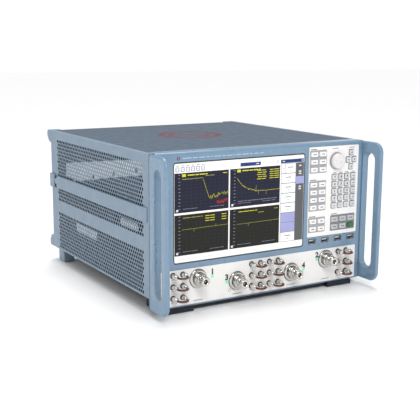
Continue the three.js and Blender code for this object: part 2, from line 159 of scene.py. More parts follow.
def finish(name, code, rough, grain=1500, relief=0.00003, shade=0.04, metal=0.0, coat=0.0,
           worn_and_lit_edge=None, dust=None, brushed=None, glow=0.0, shine=0.5):
    """A surface with a cloudy colour, a fine relief, patchy gloss, and lighter edges if asked for: part
    wear, part a painted highlight along the edges.
    """
    tree = Tree(name)
    clouds = tree.spread(tree.noise(45, 5), 0, 1)
    base = tree.mix(clouds, linear(code, 1 - shade), linear(code, 1 + shade))
    speck = tree.spread(tree.noise(420, 2), 0, 0.2, 0.55, 0.75)
    base = tree.mix(speck, base, linear(code, 1 - 2 * shade))
    # Lighter edges in patches: part wear, part a painted highlight where edges catch the light.
    if worn_and_lit_edge:
        edge_wear_and_highlight_mask = tree.add("ShaderNodeMath", operation="MULTIPLY")
        tree.link(tree.edges(0.0012), edge_wear_and_highlight_mask.inputs[0])
        tree.link(tree.spread(tree.noise(160, 4), 0.1, 0.85, 0.4, 0.62), edge_wear_and_highlight_mask.inputs[1])
        base = tree.mix(edge_wear_and_highlight_mask.outputs[0], base, linear(worn_and_lit_edge))
    if dust:
        base = tree.mix(tree.spread(tree.noise(35, 6), 0, 0.5, 0.5, 0.8), base, linear(dust))
    tree.link(base, tree.shader.inputs["Base Color"])
    gloss = tree.spread(tree.noise(60, 4), rough - 0.07, rough + 0.07)
    tree.link(gloss, tree.shader.inputs["Roughness"])
    tree.shader.inputs["Metallic"].default_value = metal
    tree.shader.inputs["Specular IOR Level"].default_value = shine
    tree.shader.inputs["Coat Weight"].default_value = coat
    tree.shader.inputs["Coat Roughness"].default_value = 0.06
    tree.bump(tree.noise(grain, 2), relief)
    if brushed:
        tree.bump(tree.noise(2500, 2, brushed), relief)
    if glow:
        tree.link(base, tree.shader.inputs["Emission Color"])
        tree.shader.inputs["Emission Strength"].default_value = glow
    return tree.material


# The lighter edge colours given below are part wear, part a painted highlight along the edges.
PAINT = finish("frame_paint", "708ca4", 0.32, grain=1100, relief=0.00003, worn_and_lit_edge="88a3b8", coat=0.35)
CASE_PAINT = finish("case_paint", "7c8fa1", 0.48, grain=1300, relief=0.00006, worn_and_lit_edge="93a5b5")
# The lid's paint is darkened well below the case paint: painted shade for the top face, which gets less
# light.
SHADED_LID_PAINT = finish("cover_paint", "46586a", 0.5, grain=900, relief=0.00009, worn_and_lit_edge="7d909f", shine=0.4)
NAVY = finish("navy_plastic", "0f1624", 0.5, grain=1400, relief=0.00008, shade=0.15, worn_and_lit_edge="3f4b60")
FOIL = finish("panel_foil", "eeecea", 0.45, grain=2600, relief=0.00002, shade=0.02)
FOIL_GREY = finish("panel_print_grey", "a2a4a8", 0.45, grain=2600, relief=0.00002, shade=0.03)
PLATE_GREY = finish("panel_print_plate", "828489", 0.45, grain=2600, relief=0.00002, shade=0.04)
INK = finish("panel_print_dark", "2c2f36", 0.5, grain=2600, relief=0.00001)
INK_GREY = finish("panel_print_soft", "5a5e65", 0.5, grain=2600, relief=0.00001)
INK_RED = finish("print_red", "6c1b29", 0.5, grain=1200, relief=0.00003)
KEY_WHITE = finish("key_white", "f1f0ee", 0.35, grain=1800, relief=0.00004, shade=0.02, coat=0.2)
KEY_GREY = finish("key_grey", "d3d4d6", 0.42, grain=1800, relief=0.00005, shade=0.03)
KEY_DARK = finish("key_dark_grey", "bdbec0", 0.42, grain=1800, relief=0.00005, shade=0.03)
KEY_GREEN = finish("key_green", "2f6a33", 0.42, grain=1800, relief=0.00005, worn_and_lit_edge="5c9660")
KNOB = finish("knob_plastic", "dfdbdc", 0.33, grain=1500, relief=0.00004, shade=0.02, coat=0.15)
STEEL = finish("turned_steel", "bfbdb9", 0.2, grain=1600, relief=0.000004, shade=0.03, metal=1.0,
               brushed=(1, 0.04, 1), worn_and_lit_edge="efedea")
NUT_STEEL = finish("nut_steel", "e0deda", 0.16, grain=1600, relief=0.000004, shade=0.03, metal=1.0)
DARK_STEEL = finish("dark_steel", "2e2f33", 0.4, metal=0.9, worn_and_lit_edge="6b6c6e")
COPPER = finish("jumper_copper", "6c483f", 0.34, grain=700, relief=0.00004, shade=0.2, metal=0.6,
                worn_and_lit_edge="94756b")
GOLD = finish("contact_gold", "c9a04a", 0.3, metal=1.0)
ZINC = finish("zinc_sheet", "b9bdc0", 0.36, grain=260, relief=0.00004, shade=0.14, metal=0.9,
              worn_and_lit_edge="d9dcde", dust="8d9297")
# Near-black inside finish: painted shade for the dark inside of the case, with real dust.
DARK_INTERIOR_SHADE = finish("interior_painted_shade", "080c15", 0.6, grain=700, shade=0.2, dust="10151f", shine=0.2)
# A lightened copy of the zinc: painted light for brackets that catch light falling through the holes.
ZINC_PAINTED_LIT = finish("zinc_painted_lit", "e4e7ea", 0.4, grain=260, relief=0.00004, shade=0.06, metal=0.25,
                     worn_and_lit_edge="f4f5f6", dust="c5cacf")
ALUMINIUM = finish("module_aluminium", "b4b6b8", 0.38, metal=1.0, shade=0.1, brushed=(1, 30, 1))
BOARD = finish("circuit_board", "1f5a38", 0.35, grain=900, relief=0.00012, shade=0.25, coat=0.4,
               dust="3c7a52")
BLACK = finish("black_plastic", "17181b", 0.45, grain=1300, relief=0.00007, shade=0.2, worn_and_lit_edge="3b3c40")
RUBBER = finish("foot_rubber", "15181f", 0.75, grain=800, relief=0.00015, shade=0.25, dust="33363d")
WHITE_PLASTIC = finish("white_plastic", "d9dadc", 0.4, shade=0.04)
LAMP_GREEN = finish("lamp_green", "6fc593", 0.3, glow=0.5)
# A faintly glowing pale green disc round each port lamp: the lamp's glow painted on the foil.
LAMP_GLOW_PAINTED = finish("lamp_glow_painted", "a8e4cd", 0.4, grain=2600, shade=0.02, glow=0.1)
LAMP_PINK = finish("lamp_pink", "f0b8c4", 0.3, glow=0.4)
GLASS = finish("screen_border", "0b0c10", 0.08, grain=300, relief=0.000002, shade=0.2, coat=0.6)


def lcd(name, code, glow=0.8):
    """A patch of the lit display, under the same glossy glass."""
    return finish("lcd_" + name, code, 0.12, grain=5000, relief=0.000001, shade=0.03,
                  glow=glow, shine=0.25)


LCD_WHITE = lcd("white", "e9e8e5", 0.18)
LCD_LIGHT = lcd("light", "ccced8", 0.15)
LCD_NAVY = lcd("navy", "13142a", 0.1)
LCD_BLACK = lcd("black", "10110d", 0.1)
LCD_GRID = lcd("grid", "2b3049", 0.2)
LCD_OLIVE = lcd("olive", "30312a", 0.2)
LCD_BAR = lcd("bar", "24396e", 0.15)
LCD_ICON = lcd("icon", "444d84", 0.05)
LCD_YELLOW = lcd("yellow", "c4c12e", 0.2)
LCD_DIM = lcd("dim", "8b8930", 0.3)
LCD_RED = lcd("red", "d0301e", 0.3)
LCD_LILAC = lcd("lilac", "9c9ecb", 0.1)
LCD_GREY = lcd("grey", "58595c", 0.1)
LCD_MARK = lcd("mark", "6c7080", 0.1)


# ---------- Shapes ----------
def arc(a, b, radius, start, end, steps=8):
    """Points of an arc in a plane, angles in degrees."""
    turn = [math.radians(start + (end - start) * step / steps) for step in range(steps + 1)]
    return [(a + radius * math.cos(t), b + radius * math.sin(t)) for t in turn]


def rounded(a0, a1, b0, b1, radius, steps=4):
    """A rectangle's outline with rounded corners."""
    low_a, high_a, low_b, high_b = a0 + radius, a1 - radius, b0 + radius, b1 - radius
    return (arc(high_a, high_b, radius, 0, 90, steps) + arc(low_a, high_b, radius, 90, 180, steps)
            + arc(low_a, low_b, radius, 180, 270, steps) + arc(high_a, low_b, radius, 270, 360, steps))


def tile(a, b, width, height, radius, steps=4):
    """A rounded rectangle around its centre."""
    return rounded(a - width / 2, a + width / 2, b - height / 2, b + height / 2, radius, steps)


def circle(a, b, radius, sides=32, turn=0.0):
    turns = [turn + TAU * i / sides for i in range(sides)]
    return [(a + radius * math.cos(t), b + radius * math.sin(t)) for t in turns]


# How a drawing (a, b) with thickness c lies: facing the front, a side, or the top.
PLANES = {
    "front": Matrix(((1, 0, 0), (0, 0, -1), (0, 1, 0))).to_4x4(),
    "side": Matrix(((0, 0, 1), (1, 0, 0), (0, 1, 0))).to_4x4(),
    "top": Matrix.Identity(4),
}
NORMAL = {"front": Vector((0, 1, 0)), "side": Vector((1, 0, 0)), "top": Vector((0, 0, 1))}


def lift(outline, plane, depth):
    """An outline as 3-D points at this depth along the plane's axis."""
    turn = PLANES[plane].to_3x3()
    return [turn @ Vector((a, b, 0)) + depth * NORMAL[plane] for a, b in outline]


class Shape:
    """Collects the surfaces of one piece, in millimetres."""

    def __init__(self):
        self.mesh = bmesh.new()

    def loft(self, rings, paint=0, start=True, end=True):
        """A skin over rings that have the same number of points."""
        rows = [[self.mesh.verts.new(point) for point in ring] for ring in rings]
        faces = []
        for low, high in zip(rows, rows[1:]):
            for here in range(len(low)):
                there = (here + 1) % len(low)
                faces.append(self.mesh.faces.new((low[here], low[there], high[there], high[here])))
        if start:
            faces.append(self.mesh.faces.new(rows[0][::-1]))
        if end:
            faces.append(self.mesh.faces.new(rows[-1]))
        for face in faces:
            face.material_index = paint
        return self

    def stack(self, layers, plane, paint=0, start=True, end=True):
        """A skin over flat outlines, each given with its depth."""
        return self.loft([lift(outline, plane, depth) for outline, depth in layers], paint, start, end)

    def turned(self, x, z, profile, paint=0, sides=48, start=True, end=True):
        """A solid of revolution about Y, from (radius, y) pairs."""
        return self.stack([(circle(x, z, radius, sides), y) for radius, y in profile],
                          "front", paint, start, end)

    def plate(self, outlines, plane, near, far, bevel=0.0, paint=0, steps=2):
        """A sheet with holes: the first outline is its edge, and the others are its holes."""
        curve = bpy.data.curves.new("outline", "CURVE")
        curve.dimensions = "2D"
        curve.fill_mode = "BOTH"
        curve.extrude = abs(far - near) / 2 - bevel
        curve.bevel_depth = bevel
        curve.bevel_resolution = steps
        curve.offset = -bevel
        for outline in outlines:
            spline = curve.splines.new("POLY")
            spline.points.add(len(outline) - 1)
            for point, (a, b) in zip(spline.points, outline):
                point.co = (a, b, 0, 1)
            spline.use_cyclic_u = True
        holder = bpy.data.objects.new("outline", curve)
        mesh = bpy.data.meshes.new_from_object(holder)
        mesh.transform(Matrix.Translation(NORMAL[plane] * (near + far) / 2) @ PLANES[plane])
        self.take(mesh, paint)
        bpy.data.objects.remove(holder)
        bpy.data.curves.remove(curve)
        return self

    def take(self, mesh, paint=0):
        """Adds a mesh that is in millimetres, and removes it."""
        for polygon in mesh.polygons:
            polygon.material_index = paint
        self.mesh.from_mesh(mesh)
        bpy.data.meshes.remove(mesh)
        bmesh.ops.remove_doubles(self.mesh, verts=self.mesh.verts, dist=0.002)

    def block(self, x, z, width, height, near, far, bevel, corner=None, paint=0):
        """A rounded block with softened front and back edges, around its centre."""
        outline = tile(x, z, width, height, bevel if corner is None else corner)
        return self.plate([outline], "front", near, far, bevel, paint)

    def mark(self, x0, x1, z0, z1, y, paint=0):
        """A flat printed or lit rectangle on a face that looks to the front."""
        corners = [(x0, y, z0), (x1, y, z0), (x1, y, z1), (x0, y, z1)]
        face = self.mesh.faces.new([self.mesh.verts.new(corner) for corner in corners])
        face.material_index = paint
        return self

    def line(self, points, width, y, paint=0):
        """A drawn line of this width through (x, z) points, facing the front."""
        last = len(points) - 1
        rows = []
        for i, (x, z) in enumerate(points):
            ahead, behind = points[min(i + 1, last)], points[max(i - 1, 0)]
            along = Vector((ahead[0] - behind[0], ahead[1] - behind[1])).normalized()
            side = Vector((-along.y, along.x)) * width / 2
            rows.append([self.mesh.verts.new((x + s * side.x, y, z + s * side.y)) for s in (-1, 1)])
        for (a, b), (c, d) in zip(rows, rows[1:]):
            self.mesh.faces.new((a, c, d, b)).material_index = paint
        return self

    def tube(self, points, radius, paint=0, sides=14):
        """A round tube along 3-D points that lie in one level plane."""
        rings = []
        last = len(points) - 1
        up = Vector((0, 0, 1))
        for i, point in enumerate(points):
            along = (Vector(points[min(i + 1, last)]) - Vector(points[max(i - 1, 0)])).normalized()
            out = along.cross(up).normalized()
            rings.append([Vector(point) + radius * (math.cos(TAU * k / sides) * out
                          + math.sin(TAU * k / sides) * up) for k in range(sides)])
        return self.loft(rings, paint)

    def digits(self, words, x, z, y, height, paint=0):
        """Plain numbers on a face that looks to the front."""
        curve = bpy.data.curves.new("digits", "FONT")
        curve.body = words
        curve.size = height / 0.69
        curve.align_x = "CENTER"
        curve.align_y = "CENTER"
        curve.extrude = 0.03
        curve.offset = 0.07 * height
        curve.resolution_u = 3
        holder = bpy.data.objects.new("digits", curve)
        mesh = bpy.data.meshes.new_from_object(holder)
        mesh.transform(Matrix.Translation((x, y, z)) @ PLANES["front"])
        self.take(mesh, paint)
        bpy.data.objects.remove(holder)
        bpy.data.curves.remove(curve)
        return self

    def mirrored(self):
        """The same shape on the other side."""
        other = Shape()
        other.mesh = self.mesh.copy()
        bmesh.ops.scale(other.mesh, vec=(-1, 1, 1), verts=other.mesh.verts)
        return other

    def sliced(self, point, normal):
        """Cuts away what lies beyond a plane, and closes the cut."""
        geometry = self.mesh.verts[:] + self.mesh.edges[:] + self.mesh.faces[:]
        cut = bmesh.ops.bisect_plane(
            self.mesh, geom=geometry, plane_co=point, plane_no=normal, clear_outer=True)
        rim = [item for item in cut["geom_cut"] if isinstance(item, bmesh.types.BMEdge)]
        bmesh.ops.triangle_fill(self.mesh, edges=rim, use_beauty=True)
        return self

    def to_mesh(self, name, scale=MM):
        bmesh.ops.recalc_face_normals(self.mesh, faces=self.mesh.faces)
        mesh = bpy.data.meshes.new(name)
        self.mesh.to_mesh(mesh)
        mesh.transform(Matrix.Scale(scale, 4))
        return mesh


def carved(body, *tools):
    """The body without the space of the tools."""
    holder = bpy.data.objects.new("body", body.to_mesh("body", 1))
    bpy.context.scene.collection.objects.link(holder)
    cutters = []
    for tool in tools:
        cutter = bpy.data.objects.new("tool", tool.to_mesh("tool", 1))
        bpy.context.scene.collection.objects.link(cutter)
        modifier = holder.modifiers.new("cut", "BOOLEAN")
        modifier.operation = "DIFFERENCE"
        modifier.solver = "EXACT"
        modifier.object = cutter
        cutters.append(cutter)
    seen = holder.evaluated_get(bpy.context.evaluated_depsgraph_get())
    result = Shape()
    result.mesh.from_mesh(bpy.data.meshes.new_from_object(seen))
    for item in [holder] + cutters:
        bpy.data.objects.remove(item)
    return result


def piece(name, shape, paints, slot, node=None, body=None, smooth=32, bevel=0.0):
    """Makes a piece that rides on a body, in place of a CAD node if one is given."""
    mesh = shape.to_mesh(name)
    paints = paints if isinstance(paints, (list, tuple)) else [paints]
    for paint in paints:
        mesh.materials.append(paint)
    mesh.shade_smooth()
    mesh.set_sharp_from_angle(angle=math.radians(smooth))
    made = bpy.data.objects.new(name, mesh)
    bpy.context.scene.collection.objects.link(made)
    if bevel:
        soft = made.modifiers.new("soft_edges", "BEVEL")
        soft.width = bevel * MM
        soft.segments = 2
        soft.limit_method = "ANGLE"
        soft.angle_limit = math.radians(40)
        soft.harden_normals = True
    else:
        made.modifiers.new("flat_faces", "WEIGHTED_NORMAL").keep_sharp = True
    if node:
        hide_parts(node)
    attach(made, body or BODY[node])
    return made


def pair(name, shape, paints, slot, node=None, **options):
    """The same piece on the right and the left side; the shape is the right one."""
    for side, form in (("right", shape), ("left", shape.mirrored())):
        target = f"{node}_{side}" if node else None
        body = None if node else "case"
        piece(f"{name}_{side}", form, paints, slot, target, body, **options)


# ---------- Camera, floor and light ----------
def aim_camera():
    """The camera stands to the front left of the object, a little above its top."""
    yaw, pitch, roll = 0.5418125, -0.1919527, 0.0061462
    ahead = Vector((math.sin(yaw) * math.cos(pitch), math.cos(yaw) * math.cos(pitch), math.sin(pitch)))
    across = Vector((math.cos(yaw), -math.sin(yaw), 0))
    above = across.cross(ahead)
    right = math.cos(roll) * across + math.sin(roll) * above
    up = math.cos(roll) * above - math.sin(roll) * across
    data = bpy.data.cameras.new("camera")
    data.sensor_width = 36
    data.lens = 72.344
    camera = bpy.data.objects.new("camera", data)
    camera.matrix_world = Matrix((right, up, -ahead)).transposed().to_4x4()
    camera.location = (-0.81846, -1.37937, 0.43585)
    bpy.context.scene.collection.objects.link(camera)
    bpy.context.scene.camera = camera


def soft_light(name, place, target, size, power):
    data = bpy.data.lights.new(name, "AREA")
    data.shape = "RECTANGLE"
    data.size, data.size_y = size
    data.energy = power
    lamp = bpy.data.objects.new(name, data)
    lamp.location = place
    lamp.rotation_euler = (Vector(target) - Vector(place)).to_track_quat("-Z", "Y").to_euler()
    bpy.context.scene.collection.objects.link(lamp)


def studio():
    """A white floor that runs into a white horizon, a dimmer sky, and soft lights from above."""
    bpy.context.scene.view_settings.view_transform = "Standard"
    world = bpy.data.worlds.new("studio")
    world.use_nodes = True
    tree = world.node_tree
    place = tree.nodes.new("ShaderNodeTexCoord")
    split = tree.nodes.new("ShaderNodeSeparateXYZ")
    sky = tree.nodes.new("ShaderNodeMapRange")
    horizon, height = 1.12, 0.42
    settings = {"From Min": 0.055, "From Max": 0.11, "To Min": horizon, "To Max": height}
    for socket, value in settings.items():
        sky.inputs[socket].default_value = value
    tree.nodes["Background"].inputs["Color"].default_value = (1, 1, 1, 1)
    tree.links.new(place.outputs["Generated"], split.inputs[0])
    tree.links.new(split.outputs["Z"], sky.inputs["Value"])
    tree.links.new(sky.outputs["Result"], tree.nodes["Background"].inputs["Strength"])
    bpy.context.scene.world = world
    data = bpy.data.lights.new("overhead", "SUN")
    data.energy = 2.05
    data.angle = math.radians(34)
    overhead = bpy.data.objects.new("overhead", data)
    overhead.rotation_euler = (math.radians(-14), math.radians(9), 0)
    bpy.context.scene.collection.objects.link(overhead)
    soft_light("key_light", (-0.7, -2.0, 1.9), (0, -0.2, 0.12), (1.2, 0.8), 34)
    soft_light("side_light", (-2.2, 0.5, 1.5), (0, 0, 0.3), (1.0, 1.4), 9)
    half = 12
    mesh = bpy.data.meshes.new("floor")
    corners = [(-half, -half, 0), (half, -half, 0), (half, half, 0), (-half, half, 0)]
    mesh.from_pydata(corners, [], [(0, 1, 2, 3)])
    mesh.materials.append(finish("floor", "f9f9f9", 0.8, grain=200, relief=0.0001, shade=0.005))
    floor = bpy.data.objects.new("floor", mesh)
    bpy.context.scene.collection.objects.link(floor)


# ---------- Front frame ----------
GAP = 0.3
FACE = FRAME.y0  # the frame's front
PANEL_FACE = KEYS.y0
FRAME_HALF = HANDLE.x0 - GAP
USB_XS = [KEYS.x0 + 10.9 + 29.6 * i for i in range(4)]
USB_Z = KEYS.z0 - 8
USB_WIDTH, USB_HEIGHT = 14, 7


def front_frame():
    """A cast frame with a rounded brow, its shoulders, and openings for screen, panels and sockets."""
    brow, edge = 5.0, 1.2
    profile = [(FRAME.y1, FRAME.z1 - edge), (FRAME.y1 - edge, FRAME.z1)]
    profile += arc(FACE + brow, FRAME.z1 - brow, brow, 90, 180, 8)
    profile += [(FACE, FRAME.z0 + 2), (FACE + 2, FRAME.z0), (FRAME.y1, FRAME.z0)]
    body = Shape().plate([profile], "side", -FRAME_HALF, FRAME_HALF, 0.8)
    cuts = []
    for hole, radius in ((SCREEN, 5), (KEYS, 2.5), (PORTS, 2.5)):
        outline = rounded(hole.x0 - GAP, hole.x1 + GAP, hole.z0 - GAP, hole.z1 + GAP, radius, 5)
        cuts.append((outline, FRAME.y1 + 5))
    for x in USB_XS:
        cuts.append((tile(x, USB_Z, USB_WIDTH, USB_HEIGHT, 0.6, 2), FACE + 13.6))
    tools = [Shape().stack([(outline, FACE - 5), (outline, end)], "front") for outline, end in cuts]
    piece("front_casting", carved(body, *tools), PAINT, "front_paint", "front_frame", bevel=0.7)
    shoulders = Shape()
    outer, inner = FRAME.x1 - 0.1, FRAME_HALF - 2
    for side in (-1, 1):
        shoulders.block(side * (outer + inner) / 2, (SIDE.z0 + 2 + SIDE.z1) / 2, outer - inner,
                        SIDE.z1 - SIDE.z0 - 2, HANDLE.y1 + GAP, FRAME.y1, 0.5)
    piece("frame_shoulders", shoulders, PAINT, "front_paint", body="case")


def usb_sockets():
    """Each socket is a folded metal shell around a tongue with four contacts."""
    shape = Shape()
    for x in USB_XS:
        rim, opening, outside, inside = [
            tile(x, USB_Z, USB_WIDTH + wider, USB_HEIGHT + higher, corner, steps)
            for wider, higher, corner, steps in ((3, 2.6, 1.6, 3), (0, 0, 0.6, 3), (-0.2, -0.2, 0.5, 2),
                                                 (-1.4, -1.4, 0.4, 2))]
        shape.plate([rim, opening], "front", FACE - 0.05, FACE + 0.4, 0.02, paint=1)
        shape.plate([outside, inside], "front", FACE + 0.5, FACE + 13, 0.1)
        shape.block(x, USB_Z, 11.2, 5.2, FACE + 12, FACE + 13.3, 0.2, paint=1)
        shape.block(x, USB_Z + 1.1, 10, 1.8, FACE + 2.2, FACE + 12.5, 0.2, paint=2)
        for contact in (-3.4, -1.1, 1.1, 3.4):
            shape.block(x + contact, USB_Z + 0.15, 1.2, 0.3, FACE + 2.6, FACE + 12, 0.08, paint=3)
    piece("usb_shells", shape, [ZINC, BLACK, WHITE_PLASTIC, GOLD], "bare_steel", body="case")


def frame_prints():
    """A plain square mark and a row of soft dashes along the frame's top."""
    z = SCREEN.z1 + 6.5
    square = [tile(SCREEN.x0 + 9, z, size, size, corner) for size, corner in ((5, 0.8), (2.6, 0.5))]
    shape = Shape().plate(square, "front", FACE - 0.06, FACE + 0.1, paint=1)
    x = SCREEN.x0 + 17
    for length in (16, 9, 12, 7, 3, 14, 6, 11, 3, 9, 13, 5, 10, 8):
        shape.mark(x, x + length, z - 0.7, z + 0.7, FACE - 0.05)
        x += length + 2.4
    for x in USB_XS:
        shape.mark(x - 3, x + 3, USB_Z - 5.7, USB_Z - 5.1, FACE - 0.05)
    paints = [finish("frame_legend", "a9c1d4", 0.5), INK_RED]
    piece("frame_print", shape, paints, "front_paint", body="case")


# ---------- Screen ----------
def noisy(shape_of, steps, spikes, seed):
    """A curve sampled over 0..1 with seeded jitter that grows with spikes(t)."""
    dice = random.Random(seed)
    places = [i / steps for i in range(steps + 1)]
    return [(t, shape_of(t) + spikes(t) * dice.uniform(-1, 1)) for t in places]


class Plot:
    """One diagram on the display, with coordinates 0..1 across and up its grid."""

    def __init__(self, shape, x0, x1, z0, z1, y, ground, grid, paper):
        self.shape, self.y = shape, y
        self.x0, self.x1, self.z0, self.z1 = x0 + 14, x1 - 1, z0 + 6, z1 - 3
        shape.mark(x0, x1, z0, z1, y, ground)
        shape.mark(x0 + 3, x0 + 7, z0 + 2.2, z0 + 5.8, y - 0.06, paper)
        for i in range(11):
            x = self.at(i / 10, 0)[0]
            z = self.at(0, i / 10)[1]
            shape.mark(x - 0.12, x + 0.12, self.z0, self.z1, y - 0.03, grid)
            shape.mark(self.x0, self.x1, z - 0.12, z + 0.12, y - 0.03, grid)

    def at(self, across, up):
        return self.x0 + across * (self.x1 - self.x0), self.z0 + up * (self.z1 - self.z0)

    def scale_marks(self, paint):
        for i in range(11):
            x, z = self.at(0, i / 10)
            self.shape.mark(x - 6.5, x - 3.2, z - 0.7, z + 0.7, self.y - 0.05, paint)

    def trace(self, points, width, paint):
        self.shape.line([self.at(*point) for point in points], width, self.y - 0.08, paint)

    def words(self, across, up, lengths, paint, height=1.15):
        """A row of short bars that stand for writing."""
        x, z = self.at(across, up)
        for length in lengths:
            self.shape.mark(x, x + length, z - height / 2, z + height / 2, self.y - 0.06, paint)
            x += length + 1.1


def filter_edge(t):
    """A pass band, a steep edge, and a stop band that rises again."""
    return 0.87 if t < 0.44 else max(0.87 - 4.3 * (t - 0.44), 0.27 + 0.3 * (t - 0.58))


def decay(t):
    return 0.27 + 0.5 * math.exp(-5 * t) + 0.06 * t


LCD_PAINTS = [GLASS, LCD_WHITE, LCD_LIGHT, LCD_NAVY, LCD_BLACK, LCD_GRID, LCD_OLIVE, LCD_BAR, LCD_ICON,
              LCD_YELLOW, LCD_DIM, LCD_RED, LCD_LILAC, LCD_GREY, LCD_MARK]
(BORDER_AT, WHITE_AT, LIGHT_AT, NAVY_AT, BLACK_AT, GRID_AT, OLIVE_AT, BAR_AT, ICON_AT,
 YELLOW_AT, DIM_AT, RED_AT, LILAC_AT, GREY_AT, MARK_AT) = range(len(LCD_PAINTS))
LIT_EDGE = 1.6
LIT_LEFT, LIT_RIGHT = SCREEN.x0 + LIT_EDGE, SCREEN.x1 - LIT_EDGE
LIT_LOW, LIT_HIGH = SCREEN.z0 + 1.8, SCREEN.z1 - 1.8
LIT = SCREEN.y0 - 0.07
PLOTS_TOP, PLOTS_MIDDLE, PLOTS_BOTTOM = LIT_HIGH - 15.6, LIT_LOW + 79.5, LIT_LOW + 11.5
PLOTS_HALF, PLOTS_RIGHT = LIT_LEFT + 103.5, LIT_LEFT + 208.2
SOFT_LEFT, TABS_LEFT = LIT_LEFT + 210.5, LIT_LEFT + 242.5


def tool_bar(shape):
    """Six icons, a dark field, an entry field, and the head of the soft keys."""
    for x in [LIT_LEFT + 6 + 9.6 * i for i in range(6)]:
        z = LIT_HIGH - 9.8
        shape.mark(x - 2.6, x + 2.6, LIT_HIGH - 4.2, LIT_HIGH - 3.2, LIT, MARK_AT)
        shape.plate([tile(x, z, 7, 7.6, 1.6), tile(x, z, 5.2, 5.8, 1.1)],
                    "front", LIT - 0.01, SCREEN.y0 + 0.1, paint=ICON_AT)
        zigzag = [(x - 2, z - 1.2), (x - 0.4, z + 1.6), (x + 0.8, z - 1.2), (x + 2, z + 1.2)]
        shape.line(zigzag, 0.6, LIT - 0.03, ICON_AT)
    head = LIT_RIGHT - LIT_LEFT
    for x0, x1, low, high, rise, paint in (
            (126.5, 167.5, 12.6, 6.4, 0, BAR_AT), (158, 164, 10.3, 8.6, 0.03, LIGHT_AT),
            (167.5, 206, 12.6, 6.4, 0, LIGHT_AT), (168.3, 201, 11.9, 7.1, 0.03, WHITE_AT),
            (209.5, head - 1, 12.6, 6.4, 0, BAR_AT), (213, 218, 10.2, 8.8, 0.03, LIGHT_AT),
            (head - 5.5, head - 3, 10.6, 8.4, 0.03, LIGHT_AT)):
        shape.mark(LIT_LEFT + x0, LIT_LEFT + x1, LIT_HIGH - low, LIT_HIGH - high, LIT - rise, paint)


def diagrams(shape):
    """A filter and a decay on navy above, and two flat traces on black below."""
    plots = []
    for z0, z1, ground, grid in ((PLOTS_MIDDLE + 3.4, PLOTS_TOP, NAVY_AT, GRID_AT),
                                 (PLOTS_BOTTOM, PLOTS_MIDDLE, BLACK_AT, OLIVE_AT)):
        for x0, x1 in ((LIT_LEFT + 0.4, PLOTS_HALF), (PLOTS_HALF + 2.6, PLOTS_RIGHT)):
            plots.append(Plot(shape, x0, x1, z0, z1, LIT, ground, grid, LIGHT_AT))
    upper_left, upper_right, lower_left, lower_right = plots
    for plot in plots:
        plot.scale_marks(MARK_AT)
        plot.words(0.02, 0.0, (9, 4, 12), MARK_AT, 1.0)
        plot.words(0.6, 0.0, (6, 11, 8), MARK_AT, 1.0)
    for plot in (upper_left, upper_right):
        x, z = plot.at(0.0, 0.98)
        shape.mark(x, x + 7, z - 2.3, z + 2.3, LIT - 0.06, YELLOW_AT)
        plot.words(0.12, 0.98, (13, 7, 10, 4), YELLOW_AT, 1.8)
    upper_left.words(0.5, 0.93, (7, 9), DIM_AT)
    upper_left.words(0.88, 0.97, (8,), YELLOW_AT)
    for row in range(5):
        upper_right.words(0.46 + 0.02 * (row % 2), 0.95 - 0.065 * row, (9, 8), YELLOW_AT)
        upper_right.words(0.76, 0.95 - 0.065 * row, (8, 11), YELLOW_AT)
    upper_right.words(0.02, 0.06, (12, 6, 22, 14, 9, 12), MARK_AT, 1.2)
    for row in range(3):
        lower_left.words(0.5, 0.96 - 0.07 * row, (8, 9), YELLOW_AT)
        lower_left.words(0.86, 0.96 - 0.07 * row, (9,), YELLOW_AT)
    lower_left.words(0.02, 0.96, (14, 9, 7, 4), DIM_AT)
    lower_right.words(0.04, 0.96, (8, 12, 9, 6), YELLOW_AT)
    lower_right.words(0.5, 0.89, (12,), DIM_AT)
    lower_right.words(0.88, 0.96, (8,), DIM_AT)

    upper_left.trace(noisy(filter_edge, 120, lambda t: 0.005 if t < 0.6 else 0.075, 3), 0.45, YELLOW_AT)
    red_part = noisy(lambda t: 0.10 + 0.05 * t, 45, lambda t: 0.06, 5)
    upper_left.trace([(0.74 + 0.26 * t, level) for t, level in red_part], 0.5, RED_AT)
    upper_right.trace(noisy(decay, 130, lambda t: 0.03 if 0.1 < t < 0.5 else 0.006, 8), 0.5, YELLOW_AT)
    for across, low_end, high_end in ((0.44, 0.3, 0.5), (0.5, 0.22, 0.3), (0.68, 0.2, 0.34)):
        upper_right.trace([(across, low_end), (across + 0.004, high_end)], 0.6, DIM_AT)
    for plot, level, places in ((lower_left, 0.63, (0.25, 0.73)), (lower_right, 0.6, (0.27,))):
        plot.trace(noisy(lambda t: level + 0.02 * t, 90, lambda t: 0.004, 11), 0.6, DIM_AT)
        for sign, across in zip((-1, 1), places):
            plot.trace([(across, level), (across + 0.003, level + 0.08 * sign)], 0.6, DIM_AT)


